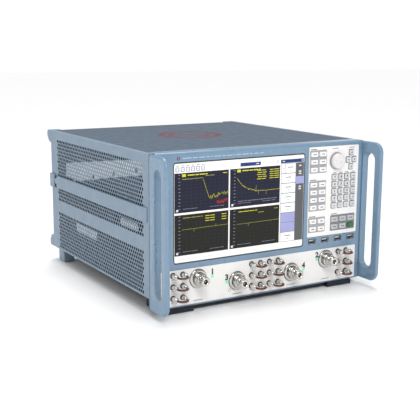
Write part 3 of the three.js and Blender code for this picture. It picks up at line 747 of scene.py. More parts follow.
def soft_keys(shape):
    """Eight soft keys, two of them lit in lilac, and the tabs beside them."""
    top = PLOTS_TOP + 2.4
    rows = 8
    pitch = (PLOTS_TOP + 2 - PLOTS_BOTTOM) / rows
    shape.mark(SOFT_LEFT, TABS_LEFT, PLOTS_BOTTOM, top, LIT, MARK_AT)
    for row in range(rows):
        z1 = PLOTS_TOP + 2 - pitch * row - 0.5
        z0 = z1 - pitch + 1.2
        if row in (5, 6):
            shape.mark(SOFT_LEFT + 0.8, TABS_LEFT - 1.2, z0 - 0.3, z1 + 0.3, LIT - 0.03, LILAC_AT)
            continue
        start = SOFT_LEFT + 0.8
        centre = (SOFT_LEFT + TABS_LEFT) / 2
        if row == 0:
            shape.mark(start, SOFT_LEFT + 8.2, z0, z1, LIT - 0.03, WHITE_AT)
            middle = (z0 + z1) / 2
            shape.mark(SOFT_LEFT + 4, SOFT_LEFT + 5.4, middle - 1, middle + 1, LIT - 0.06, MARK_AT)
            start = SOFT_LEFT + 9
            centre += 4
        shape.mark(start, TABS_LEFT - 1.2, z0, z1, LIT - 0.03, WHITE_AT)
        shape.mark(centre - 6, centre + 6, z1 - 7, z1 - 5.6, LIT - 0.06, MARK_AT)
        shape.mark(centre - 1.5, centre + 1.5, z0 + 4, z0 + 5, LIT - 0.06, MARK_AT)
    shape.mark(TABS_LEFT, LIT_RIGHT - 0.4, PLOTS_BOTTOM, top, LIT, GREY_AT)
    shape.mark(TABS_LEFT, LIT_RIGHT - 0.4, PLOTS_TOP - 35, PLOTS_TOP - 22, LIT - 0.03, LILAC_AT)
    for step in (3, 13, 17, 40, 44):
        z = PLOTS_TOP - step
        shape.mark(TABS_LEFT + 6, TABS_LEFT + 11.5, z - 1.4, z + 1, LIT - 0.05, LIGHT_AT)


def display():
    """The glass with its lit picture: a tool bar, four diagrams, soft keys and a status bar."""
    glass = rounded(SCREEN.x0, SCREEN.x1, SCREEN.z0, SCREEN.z1, 4.7, 5)
    shape = Shape().plate([glass], "front", SCREEN.y0, SCREEN.y1, 0.3, BORDER_AT)
    shape.plate([rounded(LIT_LEFT, LIT_RIGHT, LIT_LOW, LIT_HIGH, 3, 4)],
                "front", SCREEN.y0 - 0.04, SCREEN.y0 + 0.3, paint=WHITE_AT)
    tool_bar(shape)
    diagrams(shape)
    soft_keys(shape)
    for x, length in ((8, 22), (34, 8), (48, 30), (84, 14), (150, 18)):
        shape.mark(LIT_LEFT + x, LIT_LEFT + x + length, LIT_LOW + 4.6, LIT_LOW + 5.6, LIT, LIGHT_AT)
    piece("screen", shape, LCD_PAINTS, "screen_glass", "touch_screen")


# ---------- Keys ----------
KEY_FACE = box_of("function_keys_1").y0
STRIP_BACK = box_of("function_keys_1").y1
FLANGE = 1.0
CLEARANCE = 0.4


class KeyRow:
    """The keys of one CAD strip, spread evenly inside its box."""

    def __init__(self, node, count, width):
        box = box_of(node)
        first = box.x0 + FLANGE + width / 2
        last = box.x1 - FLANGE - width / 2
        gaps = max(count - 1, 1)
        self.node, self.box, self.width = node, box, width
        self.xs = [first + (last - first) * i / gaps for i in range(count)]
        self.z = box.z
        self.height = box.z1 - box.z0 - 2 * FLANGE

    def holes(self):
        size = self.width + 2 * CLEARANCE, self.height + 2 * CLEARANCE
        return [tile(x, self.z, *size, 1.6) for x in self.xs]


FUNCTION_ROWS = [KeyRow(f"function_keys_{row}", 2, 14.2) for row in range(1, 10)]
NUMBER_ROWS = [KeyRow(f"number_keys_{row}", 4, 10) for row in range(1, 6)]
ARROWS = [KeyRow(f"arrow_key_{way}", 1, 9) for way in ("right", "up", "left", "down")]
SYSTEM_ROWS = [KeyRow("system_keys_upper", 3, 14.6), KeyRow("system_keys_lower", 2, 14.6)]
PRESET = KeyRow("preset_key", 1, 14.6)


def cap(shape, x, z, width, height, corner):
    """A key cap: slightly tapered, with a soft rim and a shallow dish."""
    layers = [(0, STRIP_BACK - 0.2), (0, PANEL_FACE), (0.1, KEY_FACE + 0.9), (0.3, KEY_FACE + 0.35),
              (0.75, KEY_FACE + 0.05), (1.2, KEY_FACE), (2.0, KEY_FACE + 0.18), (2.9, KEY_FACE + 0.28)]
    shape.stack([(tile(x, z, width - 2 * inset, height - 2 * inset, max(corner - inset * 0.5, 0.4)), y)
                 for inset, y in layers], "front")


def key_row(row, paint, slot, legends, corner=1.5):
    """A strip of caps on its web; legends(shape, i, x, z) prints the i-th cap."""
    shape = Shape()
    box = row.box
    shape.block(box.x, box.z, box.x1 - box.x0, box.z1 - box.z0, PANEL_FACE + 3.4, STRIP_BACK, 0.2)
    for i, x in enumerate(row.xs):
        cap(shape, x, row.z, row.width, row.height, corner)
        legends(shape, i, x, row.z)
    piece(row.node + "_caps", shape, [paint, INK, INK_GREY], slot, row.node)


def on_cap(shape, x, z, width, height, paint):
    """A short printed bar on a cap."""
    shape.block(x, z, width, height, KEY_FACE + 0.02, KEY_FACE + 0.6, 0.05, paint=paint)


def dashes(*lengths):
    """Prints a row of short bars in the middle of a cap."""
    gap = 0.7

    def printed(shape, _, x, z):
        left = x - (sum(lengths) + gap * (len(lengths) - 1)) / 2
        for length in lengths:
            on_cap(shape, left + length / 2, z, length, 1.6, 2)
            left += length + gap
    return printed


def arrow(turn):
    """Prints a small triangle that points this way."""
    def printed(shape, _, x, z):
        triangle = circle(x, z, 1.9, 3, turn)
        shape.plate([triangle], "front", KEY_FACE + 0.02, KEY_FACE + 0.6, 0.05, paint=1)
    return printed


def number(legends):
    """Prints these digits on the first caps, and a dash where there is no digit."""
    def printed(shape, i, x, z):
        if i == 3:
            on_cap(shape, x, z, 4.8, 1, 2)
        elif legends[i].isdigit():
            shape.digits(legends[i], x, z, KEY_FACE + 0.1, 3.6, 1)
        else:
            on_cap(shape, x, z, 3.2, 0.9, 1)
    return printed


def keys():
    for row in FUNCTION_ROWS:
        key_row(row, KEY_WHITE, "white_keys", dashes(2.6, 3.6))
    for row, legends in zip(NUMBER_ROWS, ("789", "456", "123", "0.-", "---")):
        key_row(row, KEY_GREY, "grey_keys", number(legends), 1.3)
    for turn, row in enumerate(ARROWS):
        key_row(row, KEY_GREY, "grey_keys", arrow(turn * TAU / 4), 2.4)
    for row in SYSTEM_ROWS:
        key_row(row, KEY_DARK, "grey_keys", dashes(3, 4))
    key_row(PRESET, KEY_GREEN, "green_key", dashes(6))


def key_panel():
    """The foil panel with its key holes and the prints around the key groups."""
    knob_box = box_of("knob")
    rows = FUNCTION_ROWS + NUMBER_ROWS + SYSTEM_ROWS + [PRESET] + ARROWS
    holes = [hole for row in rows for hole in row.holes()] + [circle(knob_box.x, knob_box.z, 4, 24)]
    edge = rounded(KEYS.x0, KEYS.x1, KEYS.z0, KEYS.z1, 2.2)
    shape = Shape().plate([edge] + holes, "front", KEYS.y0, KEYS.y1, 0.15)

    def ground(outline, inner, paint):
        """A printed ground with holes for the keys."""
        shape.plate([outline] + inner, "front", PANEL_FACE - 0.06, PANEL_FACE + 0.2, 0.02, paint)

    def label(x0, x1, z0, z1, paint):
        shape.mark(x0, x1, z0, z1, PANEL_FACE - 0.05, paint)

    for group in (FUNCTION_ROWS[:3], FUNCTION_ROWS[3:7], FUNCTION_ROWS[7:]):
        x0, x1 = group[0].box.x0 - 1.6, group[0].box.x1 + 1.6
        z0, z1 = group[-1].box.z0 - 1.4, group[0].box.z1 + 1.4
        ground(rounded(x0, x1, z0, z1, 2), [hole for row in group for hole in row.holes()], 1)
        label(x0 + 2, x0 + 16, z1 + 1.5, z1 + 2.7, 3)
        label(x0, x1, z1 + 0.4, z1 + 0.75, 4)
    upper = SYSTEM_ROWS[0].box
    x0, z1 = upper.x0 - 0.5, upper.z1 + 2
    plate_holes = [hole for row in SYSTEM_ROWS + [PRESET] for hole in row.holes()]
    ground(rounded(x0, upper.x1 + 2, PRESET.box.z0 - 2, z1, 2), plate_holes, 2)
    label(x0 + 1, x0 + 15, z1 + 1.4, z1 + 2.5, 3)
    # A dark grey ring printed round each number and arrow key, part print, part painted shade around the
    # caps.
    for row in NUMBER_ROWS + ARROWS:
        for x, hole in zip(row.xs, row.holes()):
            ground(tile(x, row.z, row.width + 2.6, row.height + 2.6, 2.2), [hole], 4)
    top = NUMBER_ROWS[0]
    for x in top.xs:
        label(x - 3.6, x + 3.6, top.box.z1 + 1.6, top.box.z1 + 2.5, 4)
    for x in (knob_box.x - 9, box_of("arrow_key_up").x - 5):
        label(x, x + 13, KEYS.z1 - 5, KEYS.z1 - 4, 4)
    paints = [FOIL, FOIL_GREY, PLATE_GREY, INK, INK_GREY]
    piece("key_panel_foil", shape, paints, "panel_foil", "key_panel", smooth=40)


def knob():
    """A stepped light knob with a finger dimple in its face and a fluted skirt."""
    box = box_of("knob")
    x, z = box.x, box.z
    radius = (box.x1 - box.x0) / 2
    back, front = PANEL_FACE - GAP, box.y0
    sides = 96
    shape = Shape()

    def fluted(inset, depth):
        """The skirt's outline, with a flute at every fourth point."""
        reach = [radius - inset - (depth if i % 4 == 0 else 0) for i in range(sides)]
        return [(x + r * math.cos(TAU * i / sides), z + r * math.sin(TAU * i / sides))
                for i, r in enumerate(reach)]

    skirt = [(fluted(1, 0), back), (fluted(0, 0), back - 0.4), (fluted(0, 0.18), back - 0.8),
             (fluted(0.1, 0.22), back - 2.4), (fluted(0.5, 0), back - 2.9), (fluted(1.3, 0), back - 3.1)]
    shape.stack(skirt, "front", 1)
    body = [(radius - 1.5, back - 3), (radius - 1.7, back - 3.4), (radius - 2.1, front + 1.4),
            (radius - 2.4, front + 0.7), (radius - 3.0, front + 0.2), (radius - 3.8, front)]
    rim = body[-1][0]
    face = [(rim * (1 - step / 18), front) for step in range(1, 18)]
    rings = [lift(circle(x, z, r, sides), "front", y) for r, y in body + face]
    dimple, dimple_radius, dimple_depth, dish = Vector((x + 6.4, front, z - 1.5)), 4.3, 1.3, 0.25
    for ring in rings[len(body):]:
        for point in ring:
            reach = (point - dimple).length / dimple_radius
            point.y += dish * (1 - (math.hypot(point.x - x, point.z - z) / rim) ** 2)
            if reach < 1:
                point.y += dimple_depth * (1 - reach ** 2) ** 2
    shape.loft(rings)
    shape.turned(x, z, [(3, back - 1), (3, box.y1)], paint=2, sides=24)
    paints = [KNOB, finish("knob_skirt", "8d8b8f", 0.4), STEEL]
    piece("knob_cap", shape, paints, "knob_plastic", "knob", smooth=40)


# ---------- Ports ----------
# Each test port's node, its number, and where the number stands from the port's axis.
TEST_PORTS = (("test_port_1", "1", (28.1, 7.6)), ("test_port_3", "3", (-20.3, 7.9)),
              ("test_port_4", "4", (27.4, 7.9)), ("test_port_2", "2", (-19.5, 9.3)))
JUMPER_BANKS = {"jumper_bank_left": 1, "jumper_bank_middle": 2, "jumper_bank_right": 1}  # loops across
PORT_FACE = PORTS.y0
JACK_SPACING, JACK_REACH, JACK_MARGIN, CABLE = 18.6, 27.0, 7, 1.8


def ahead(profile):
    """(radius, distance in front of the port panel) pairs as (radius, y) pairs."""
    return [(radius, PORT_FACE - distance) for radius, distance in profile]


def threaded(shape, x, z, radius, start, end, pitch=0.9, depth=0.35, sides=64, paint=0):
    """An outside thread around Y, from y start to y end."""
    steps = max(int(abs(end - start) / pitch * 8), 8)
    rings = []
    for step in range(steps + 1):
        y = start + (end - start) * step / steps
        fade = min(1, step / 6, (steps - step) / 6)
        ring = []
        for i in range(sides):
            turn = TAU * i / sides
            phase = (abs(end - y) / pitch + i / sides) % 1
            r = radius - depth * fade * (1 - abs(2 * phase - 1))
            ring.append(Vector((x + r * math.cos(turn), y, z + r * math.sin(turn))))
        rings.append(ring)
    shape.loft(rings, paint, False, False)


def test_port(node):
    """A ruggedised coaxial port: flange, collar with wrench flats, threaded nose, recessed contact."""
    box = box_of(node)
    x, z = box.x, box.z
    shape = Shape()
    flange = [(12.6, -17.9), (12.6, 0.3), (15.5, 0.3), (16, 0.8), (16, 2.7), (15.3, 3.4), (11, 4.3)]
    rim = [(13.2, -0.1), (16.4, 0.02), (16.6, 0.3), (16.5, 0.7), (15.8, 0.8)]
    groove = [(11.9, 3.4), (12.0, 4.4), (11.2, 4.6)]
    collar = [(11.0, 4), (11.5, 4.8), (11.5, 11.2), (10.7, 12), (9.8, 12.2)]
    neck = [(8.6, 15.8), (8.6, 17), (8.0, 17.6)]
    for profile, paint in ((flange, 0), (rim, 1), (groove, 1), (collar, 0), (neck, 0)):
        shape.turned(x, z, ahead(profile), paint, 64)
    flats = ahead([(10.4, 12.0), (11.2, 12.5), (11.2, 15.4), (10.2, 16.2)])
    shape.stack([(circle(x, z, radius, 6, 0.3), y) for radius, y in flats], "front")
    threaded(shape, x, z, 8.0, PORT_FACE - 17.5, PORT_FACE - 24.6, depth=0.25)
    nose = [(8.0, 24.6), (8.0, 26.2), (7.2, 27), (4.4, 27), (3.7, 26.4), (3.5, 25.2), (3.4, 21)]
    shape.turned(x, z, ahead(nose), sides=64, start=False, end=False)
    shape.turned(x, z, ahead([(3.5, 21.2), (1.1, 21)]), paint=1)
    shape.turned(x, z, ahead([(1.3, 20), (1.3, 25), (0.9, 25.7), (0.2, 26)]), paint=2, sides=20)
    piece(node + "_connector", shape, [STEEL, DARK_STEEL, GOLD], "connector_steel", node, smooth=38)


def loop_centres(node):
    """The middles of a bank's loops across, and its rows up."""
    box = box_of(node)
    first = box.x0 + JACK_MARGIN + JACK_SPACING / 2
    last = box.x1 - JACK_MARGIN - JACK_SPACING / 2
    xs = (first, last)[:JUMPER_BANKS[node]]
    return xs, (box.z0 + JACK_MARGIN, box.z, box.z1 - JACK_MARGIN)


def jack(shape, x, z, turn):
    """A bulkhead jack: dark washer, threaded barrel, and a chamfered hexagon nut on the cable."""
    shape.turned(x, z, [(3.0, FACE + 14), (3.2, PORT_FACE - 0.6)], sides=24)
    shape.turned(x, z, ahead([(5.0, 0.02), (5.1, 0.3), (4.9, 0.7), (3.6, 0.8)]), paint=1, sides=32)
    threaded(shape, x, z, 3.4, PORT_FACE - 0.6, PORT_FACE - 7.4, pitch=0.9, depth=0.15, sides=24)
    nut = ahead([(4.3, 6.8), (5.0, 7.3), (5.0, 12.2), (4.4, 13.0), (3.4, 13.2)])
    shape.stack([(circle(x, z, radius, 6, turn), y) for radius, y in nut], "front")
    sleeve = [(3.4, 12.8), (3.4, 15.2), (2.9, 15.6), (2.6, 16.8), (1.9, 17.0)]
    shape.turned(x, z, ahead(sleeve), sides=24)


def jumper_bank(node):
    """Pairs of bulkhead jacks with hexagon nuts, each pair joined by a bent copper cable."""
    box = box_of(node)
    half = JACK_SPACING / 2
    shape = Shape()
    shape.block(box.x, box.z, box.x1 - box.x0, box.z1 - box.z0, FACE + 12, FACE + 15, 0.4)
    start = PORT_FACE - 6
    bend = PORT_FACE - JACK_REACH + CABLE + half
    xs, zs = loop_centres(node)
    for x in xs:
        for row, z in enumerate(zs):
            for side in (-1, 1):
                jack(shape, x + side * half, z, turn=0.35 * row + 0.2 * side)
            straight = [(x - half, start, z), (x - half, (start + bend) / 2, z)]
            back = [(x + half, y, z) for _, y, _ in straight[::-1]]
            bow = [(a, b, z) for a, b in arc(x, bend, half, 180, 360, 20)]
            shape.tube(straight + bow + back, CABLE, 2)
    piece(node + "_loops", shape, [NUT_STEEL, DARK_STEEL, COPPER], "jumper_copper", node, smooth=38)


def port_panel():
    """The foil panel around the ports, with numbers, lamps and prints."""
    holes = [circle(box_of(node).x, box_of(node).z, 13.4, 48) for node, _, _ in TEST_PORTS]
    jacks = []
    for node in JUMPER_BANKS:
        xs, zs = loop_centres(node)
        jacks += [(x + side * JACK_SPACING / 2, z) for x in xs for side in (-1, 1) for z in zs]
    holes += [circle(x, z, 3.7, 20) for x, z in jacks]
    edge = rounded(PORTS.x0, PORTS.x1, PORTS.z0, PORTS.z1, 2.2)
    shape = Shape().plate([edge] + holes, "front", PORTS.y0, PORTS.y1, 0.15)
    label_y = PORT_FACE - 0.05

    def lamp(x, z, radius, tip, paint):
        dome = [(radius, -0.2), (radius - 0.1, 0.3), (tip, 0.5)]
        shape.turned(x, z, ahead(dome), paint, 20)

    for node, words, (dx, dz) in TEST_PORTS:
        box = box_of(node)
        x, z = box.x + dx, box.z + dz
        shape.digits(words, x, z, PORT_FACE - 0.02, 9.4, 1)
        lamp(x, z - 7.7, 1.5, 0.5, 3)
        # A faintly glowing disc on the foil around the lamp: painted glow.
        shape.plate([circle(x, z - 7.7, 3.6, 28)], "front", PORT_FACE - 0.04, PORT_FACE + 0.1, paint=5)
        shape.mark(box.x - 9, box.x + 9, PORTS.z0 + 4.6, PORTS.z0 + 5.6, label_y, 2)
    pair_xs = (box_of("jumper_bank_left").x, -18.5, 18.5, box_of("jumper_bank_right").x)
    for x in [x + side * JACK_SPACING / 2 for x in pair_xs for side in (-1, 1)]:
        for z in (PORTS.z0 + 7.2, PORTS.z0 + 26.6, PORTS.z0 + 46.2):
            shape.mark(x - 3.2, x + 3.2, z - 0.45, z + 0.45, label_y, 2)
    last = box_of("test_port_2")
    lamp(last.x - 43.8, last.z + 1.9, 1.3, 0.4, 4)
    ring_x, ring_z = -72, 26
    ring = [circle(ring_x, ring_z, radius, 24) for radius in (2.6, 2.1)]
    shape.plate(ring, "front", label_y, PORT_FACE + 0.1, paint=2)
    paints = [FOIL, INK, INK_GREY, LAMP_GREEN, LAMP_PINK, LAMP_GLOW_PAINTED]
    piece("port_panel_foil", shape, paints, "panel_foil", "port_panel", smooth=40)


# ---------- Handles and case ----------
SLOT_BACK, SLOT_WIDTH = FACE - 8, 25
SLOT_BOTTOM, SLOT_TOP = 36, 246
SLOT_FLARE = 5.0
HANDLE_CORNER = 19


def slot_at(spare, flare):
    """The finger slot's outline, larger by spare all round and by flare towards the frame."""
    radius = SLOT_WIDTH / 2
    reach, centre = radius + spare + flare / 2, SLOT_BACK - radius + flare / 2
    return (arc(centre, SLOT_TOP - radius, reach, 0, 180, 16)
            + arc(centre, SLOT_BOTTOM + radius, reach, 180, 360, 16))


def handles():
    """A thick plate with rounded edges around a flared finger slot, cut flat where it meets the case."""
    back, spare = HANDLE.y1, 6
    centre = HANDLE.y0 + HANDLE_CORNER
    outline = [(back + spare, HANDLE.z0), (back + spare, HANDLE.z1)]
    outline += arc(centre, HANDLE.z1 - HANDLE_CORNER, HANDLE_CORNER, 90, 180, 12)
    outline += arc(centre, HANDLE.z0 + HANDLE_CORNER, HANDLE_CORNER, 180, 270, 12)
    grip = Shape().plate([outline], "side", HANDLE.x0, HANDLE.x1, 3.4, steps=5)
    thick = HANDLE.x1 - HANDLE.x0
    edge = 1.0
    layers = [(slot_at(edge + 1, SLOT_FLARE + 1), -1), (slot_at(edge, SLOT_FLARE), 0),
              (slot_at(0, SLOT_FLARE), edge), (slot_at(0, 0), thick - edge),
              (slot_at(0.3 * edge, 0), thick - 0.3 * edge), (slot_at(edge, 0), thick),
              (slot_at(edge + 1, 0), thick + 1)]
    shape = carved(grip, Shape().stack([(ring, HANDLE.x0 + depth) for ring, depth in layers], "side"))
    joint = 1.8
    shape.sliced((0, back - joint, 0), (0, 1, 0))
    pair("handle_grip", shape, PAINT, "front_paint", "handle", smooth=40)
    outline = rounded(back - joint - 0.4, back, HANDLE.z0 + 0.8, HANDLE.z1 - 0.8, 0.5)
    seal = Shape().plate([outline], "side", HANDLE.x0 + 0.6, HANDLE.x1 - 1.0, 0.3)
    pair("handle_joint", seal, BLACK, "front_paint")


SHEET = 0.8
HOLE_RADIUS, HOLES_ACROSS = 3.3, 49
PITCH_ALONG, PITCH_UP = 7.77, 6.73
FIELD_START = SIDE.y0 + 18.9
FIELD_END = FIELD_START + PITCH_ALONG * HOLES_ACROSS
FIELDS = ((SIDE.z0 + 4.0, 11), (SIDE.z0 + 100.6, 4), (SIDE.z0 + 149.0, 11))  # lowest edge, rows


def perforated_row(shape, y0, z0, count):
    """A row of square cells, each with a round hole through the sheet."""
    third = [-1, -1 / 3, 1 / 3, 1]
    border = ([(1, t) for t in third] + [(-t, 1) for t in third[1:]]
              + [(-1, -t) for t in third[1:]] + [(t, -1) for t in third[1:-1]])
    for column in range(count):
        y, z = y0 + PITCH_ALONG * (column + 0.5), z0 + PITCH_UP / 2
        hole = circle(y, z, HOLE_RADIUS, len(border), -TAU / 8)
        edge = [(y + a * PITCH_ALONG / 2, z + b * PITCH_UP / 2) for a, b in border]
        outer, inner = SIDE.x1, SIDE.x1 - SHEET
        shape.stack([(edge, outer), (hole, outer), (hole, inner), (edge, inner)],
                    "side", start=False, end=False)


def side_panels():
    """A folded sheet with three fields of staggered round holes."""
    shape = Shape()
    outer, inner = SIDE.x1, SIDE.x1 - SHEET

    def plain(y0, y1, z0, z1):
        corners = [(y0, z0), (y1, z0), (y1, z1), (y0, z1)]
        shape.stack([(corners, inner), (corners, outer)], "side")

    fold = 2.0
    low, high = SIDE.z0 + fold, SIDE.z1 - fold
    for bottom, rows in FIELDS:
        plain(FIELD_START, FIELD_END, low, bottom)
        for row in range(rows):
            shift = row % 2 * PITCH_ALONG / 2
            z = bottom + row * PITCH_UP
            perforated_row(shape, FIELD_START + shift, z, HOLES_ACROSS - row % 2)
            if shift:
                plain(FIELD_START, FIELD_START + shift, z, z + PITCH_UP)
                plain(FIELD_END - shift, FIELD_END, z, z + PITCH_UP)
        low = bottom + rows * PITCH_UP
    plain(FIELD_START, FIELD_END, low, high)
    plain(SIDE.y0, FIELD_START, SIDE.z0 + fold, high)
    plain(FIELD_END, SIDE.y1, SIDE.z0 + fold, high)
    for edge, sign in ((SIDE.z1, -1), (SIDE.z0, 1)):
        bend = [(outer - fold + fold * math.sin(t), edge + sign * fold * (1 - math.cos(t)))
                for t in (TAU / 4 * i / 5 for i in range(6))]
        thick = edge + sign * SHEET
        back = [(inner, edge + sign * fold), (inner - 0.2, thick), (SIDE.x0, thick)]
        hook = [(SIDE.x0, edge)] + bend + back
        shape.stack([(hook, COVER.y0), (hook, SIDE.y1)], "front")
        short = [(outer - fold, edge + sign * 0.02)] + bend[1:] + back[:1]
        shape.stack([(short, SIDE.y0), (short, COVER.y0)], "front")
    pair("side_sheet", shape, CASE_PAINT, "case_paint", "side_panel", smooth=28)


def inner_parts():
    """What shows through the holes: a near-black sheet that stands in for the shade inside the case
    (painted shade), and brackets lightened to stand in for light that falls through the holes (painted
    light).
    """
    # A near-black sheet behind the holes stands in for the shade inside the case.
    x = SIDE.x1 - 9
    outline = rounded(SIDE.y0 + 21, SIDE.y1 - 6, SIDE.z0 + 4, SIDE.z1 - 5, 3)
    shade_sheet = Shape().plate([outline], "side", x - 1, x, 0.3)
    for y in range(-150, 221, 46):
        shade_sheet.plate([rounded(y, y + 3, SIDE.z0 + 6, SIDE.z1 - 8, 1)], "side", x - 0.5, x + 2, 0.3)
    pair("side_shade_sheet", shade_sheet, DARK_INTERIOR_SHADE, "bare_steel")
    start = SIDE.y0 + 25
    slanting = [(start, 231), (-6, 203), (95, 184), (161, 184), (160, 211), (-105, 248), (start, 254)]
    holes = [circle(y, 236 - 0.2 * (y + 150), 5, 20) for y in (-150, -60, 30, 120)]
    # The brackets take the lightened zinc, painted light for the light that falls through the holes.
    face = SIDE.x1 - 2.0
    bracket = Shape()
    upper_bar, lower_bar = rounded(-153, -86, 134, 147, 3), rounded(18, 114, 84, 101, 3)
    for outlines in ([slanting] + holes, [upper_bar], [lower_bar]):
        bracket.plate(outlines, "side", face - 1.5, face, 0.4)
    pair("side_bracket", bracket, ZINC_PAINTED_LIT, "bare_steel")


def top_cover():
    """The lid with countersunk screws and a plain printed ring around a sine wave."""
    top = COVER.z1
    lid = rounded(COVER.x0, COVER.x1, COVER.y0, COVER.y1, 1.5)
    shape = Shape().plate([lid], "top", COVER.z0, top, 0.5)
    x, y = -15, 33
    wave = [(x - 42 + 84 * t, y + 24 * math.sin(TAU * t)) for t in (i / 40 for i in range(41))]
    band = [(a, b + 8) for a, b in wave] + [(a, b - 8) for a, b in wave[::-1]]
    for outlines in ([circle(x, y, 61, 72), circle(x, y, 50, 72)], [band]):
        shape.plate(outlines, "top", top - 0.1, top + 0.05, paint=1)
    for x in (COVER.x0 + 9, 0, COVER.x1 - 9):
        for y in (COVER.y0 + 10, COVER.y1 - 10):
            head = [circle(x, y, 3.6, 24), circle(x, y, 1.5, 6)]
            shape.plate(head, "top", top - 0.5, top + 0.02, 0.1, 2)
    # The lid takes the darkened paint, painted shade for the top face.
    piece("lid", shape, [SHADED_LID_PAINT, INK_RED, DARK_STEEL], "cover_paint", "top_cover", smooth=40)


def screw(shape, x0, x1, y, z, radius, paint):
    """A pan-head screw with a cross slot that faces along X."""
    cross = []
    for quarter in range(4):
        c, s = math.cos(quarter * TAU / 4), math.sin(quarter * TAU / 4)
        for a, b in ((0.55, 0.14), (0.14, 0.14), (0.14, 0.55)):
            cross.append((y + radius * (a * c - b * s), z + radius * (a * s + b * c)))
    shape.plate([circle(y, z, radius, 28), cross], "side", x0, x1, 0.35, paint=paint)
    shape.plate([circle(y, z, radius * 0.9, 28)], "side", x0 - 0.5, x0 + 0.2, paint=paint)


def straps():
    """A lifting strap: a thin band that runs out of the panel, a black plate that stands in for the
    shade in its pocket and the shadow under its lower edge (painted shade), and a cap at its rear.
    """
    box = box_of("strap_right")
    skin = SIDE.x1
    front, end = box.y0, box.y1 - 35.5
    z0, z1, z = box.z0 + 2, box.z1 - 2, box.z
    corner = 7
    band = [(front, z0), (front, z1)]
    band += arc(end - corner, z1 - corner, corner, 90, 0)
    band += arc(end - corner, z0 + corner, corner, 0, -90)
    strip = Shape().plate([band], "side", skin, box.x1, 0.9, steps=3)
    ramp = Vector((14, -3.0, 0)).normalized()
    strip.sliced((box.x1 - 0.2, front + 12, 0), ramp)
    screw(strip, box.x1 - 0.7, box.x1 - 0.15, front + 20, z, 3.2, 1)
    pair("strap_band", strip, [CASE_PAINT, ZINC], "case_paint", "strap")
    # A thin black plate under the band's rear end, reaching below its lower edge: painted shade for the
    # pocket and the strap's shadow on the panel.
    pocket_shade = rounded(front + 30, box.y1 - 21, z0 - 1.3, z1 - 1, 3)
    ends = Shape().plate([pocket_shade], "side", skin - 0.3, skin + 0.4, 0.1)
    ends.plate([rounded(end - 6, box.y1 - 20, z - 5, z + 5, 2)], "side", skin + 0.2, skin + 2.2, 0.3, 1)
    cap_outline = rounded(box.y1 - 21.5, box.y1, box.z0, box.z1, 3.5)
    ends.plate([cap_outline], "side", skin + 0.2, box.x1, 1.6, 2, steps=4)
    screw(ends, box.x1 - 0.6, box.x1 - 0.05, box.y1 - 10.5, z, 3.6, 1)
    pair("strap_ends", ends, [BLACK, ZINC, CASE_PAINT], "case_paint")


def front_feet():
    """Feet of two cheeks, a heel and a block, with ribbed soles; between them a dark skirt and pan that
    stand in for the shadow under the case (painted shade).
    """
    box = box_of("front_foot_right")
    under, heel, roof = FRAME.z0 - GAP, box.y0 + 22, 7.6
    behind = FRAME.y1 + GAP
    shape = Shape()
    cheek = [(box.y0, 0.6), (box.y0 + 1, 0), (box.y1 - 2, 0), (box.y1, 2), (box.y1, box.z1),
             (behind, box.z1), (behind, under), (box.y0, under)]
    heel_side = [(box.y0, 1.5), (box.y0 + 1.5, 0), (heel - 1, 0), (heel, 1), (heel, under),
                 (box.y0, under)]
    block = [(behind, roof), (box.y1, roof), (box.y1, box.z1), (behind, box.z1)]
    x0, x1 = box.x0 + 3, box.x1 - 3
    for outline, near, far, bevel in (
            (cheek, box.x0, box.x0 + 5, 0.8), (cheek, box.x1 - 5, box.x1, 0.8), (heel_side, x0, x1, 0.8),
            (block, x0, x1, 0.8), (rounded(box.y0, box.y1, roof, under, 0.8), x0, x1, 0.5)):
        shape.plate([outline], "side", near, far, bevel)
    for y in [box.y0 + 3 + 3 * i for i in range(6)]:
        shape.plate([rounded(y, y + 1.4, 0, 1.2, 0.4)], "side", box.x0 + 6, box.x1 - 6, 0.3, 1)
    pair("foot_front", shape, [NAVY, RUBBER], "foot_rubber", "front_foot")

    chassis = box_of("chassis")
    # A dark navy skirt under the frame and a pan under the chassis: painted shade for the shadow beneath
    # the case.
    low, shade_skirt_y = 2.5, box.y0 + 8
    skirt = Shape().block(0, (low + under) / 2, 2 * box.x0 - 2, under - low, shade_skirt_y, shade_skirt_y + 3, 0.6)
    pan = rounded(-FRAME_HALF + 2, FRAME_HALF - 2, FACE + 3, chassis.y0 + 6, 1)
    skirt.plate([pan], "top", chassis.z0 - 1.4, chassis.z0 - 0.2, 0.3)
    piece("base_shade_skirt", skirt, NAVY, "foot_rubber", body="case")


def foot_flaps():
    """A ribbed leaf on a pin under each front foot."""
    flap = box_of("foot_flap_right")
    hinge = flap.y0 + 2
    side = arc(hinge, flap.z, 2.4, 90, 270)
    side += [(flap.y1 - 1.5, flap.z0), (flap.y1, flap.z0 + 1.5), (flap.y1, flap.z1 - 0.6),
             (flap.y1 - 0.6, flap.z1)]
    leaf = Shape().plate([side], "side", flap.x0 + 4, flap.x1 - 4, 0.5)
    leaf.plate([circle(hinge, flap.z, 1.5, 20)], "side", flap.x0, flap.x1, 0.2)
    rib = rounded(hinge + 8, flap.y1 - 3, flap.z0, flap.z0 + 0.5, 0.2)
    for x in [flap.x0 + 9 + 7 * i for i in range(5)]:
        leaf.plate([rib], "side", x, x + 2, 0.1, 1)
    pair("flap", leaf, [NAVY, RUBBER], "foot_rubber", "foot_flap")


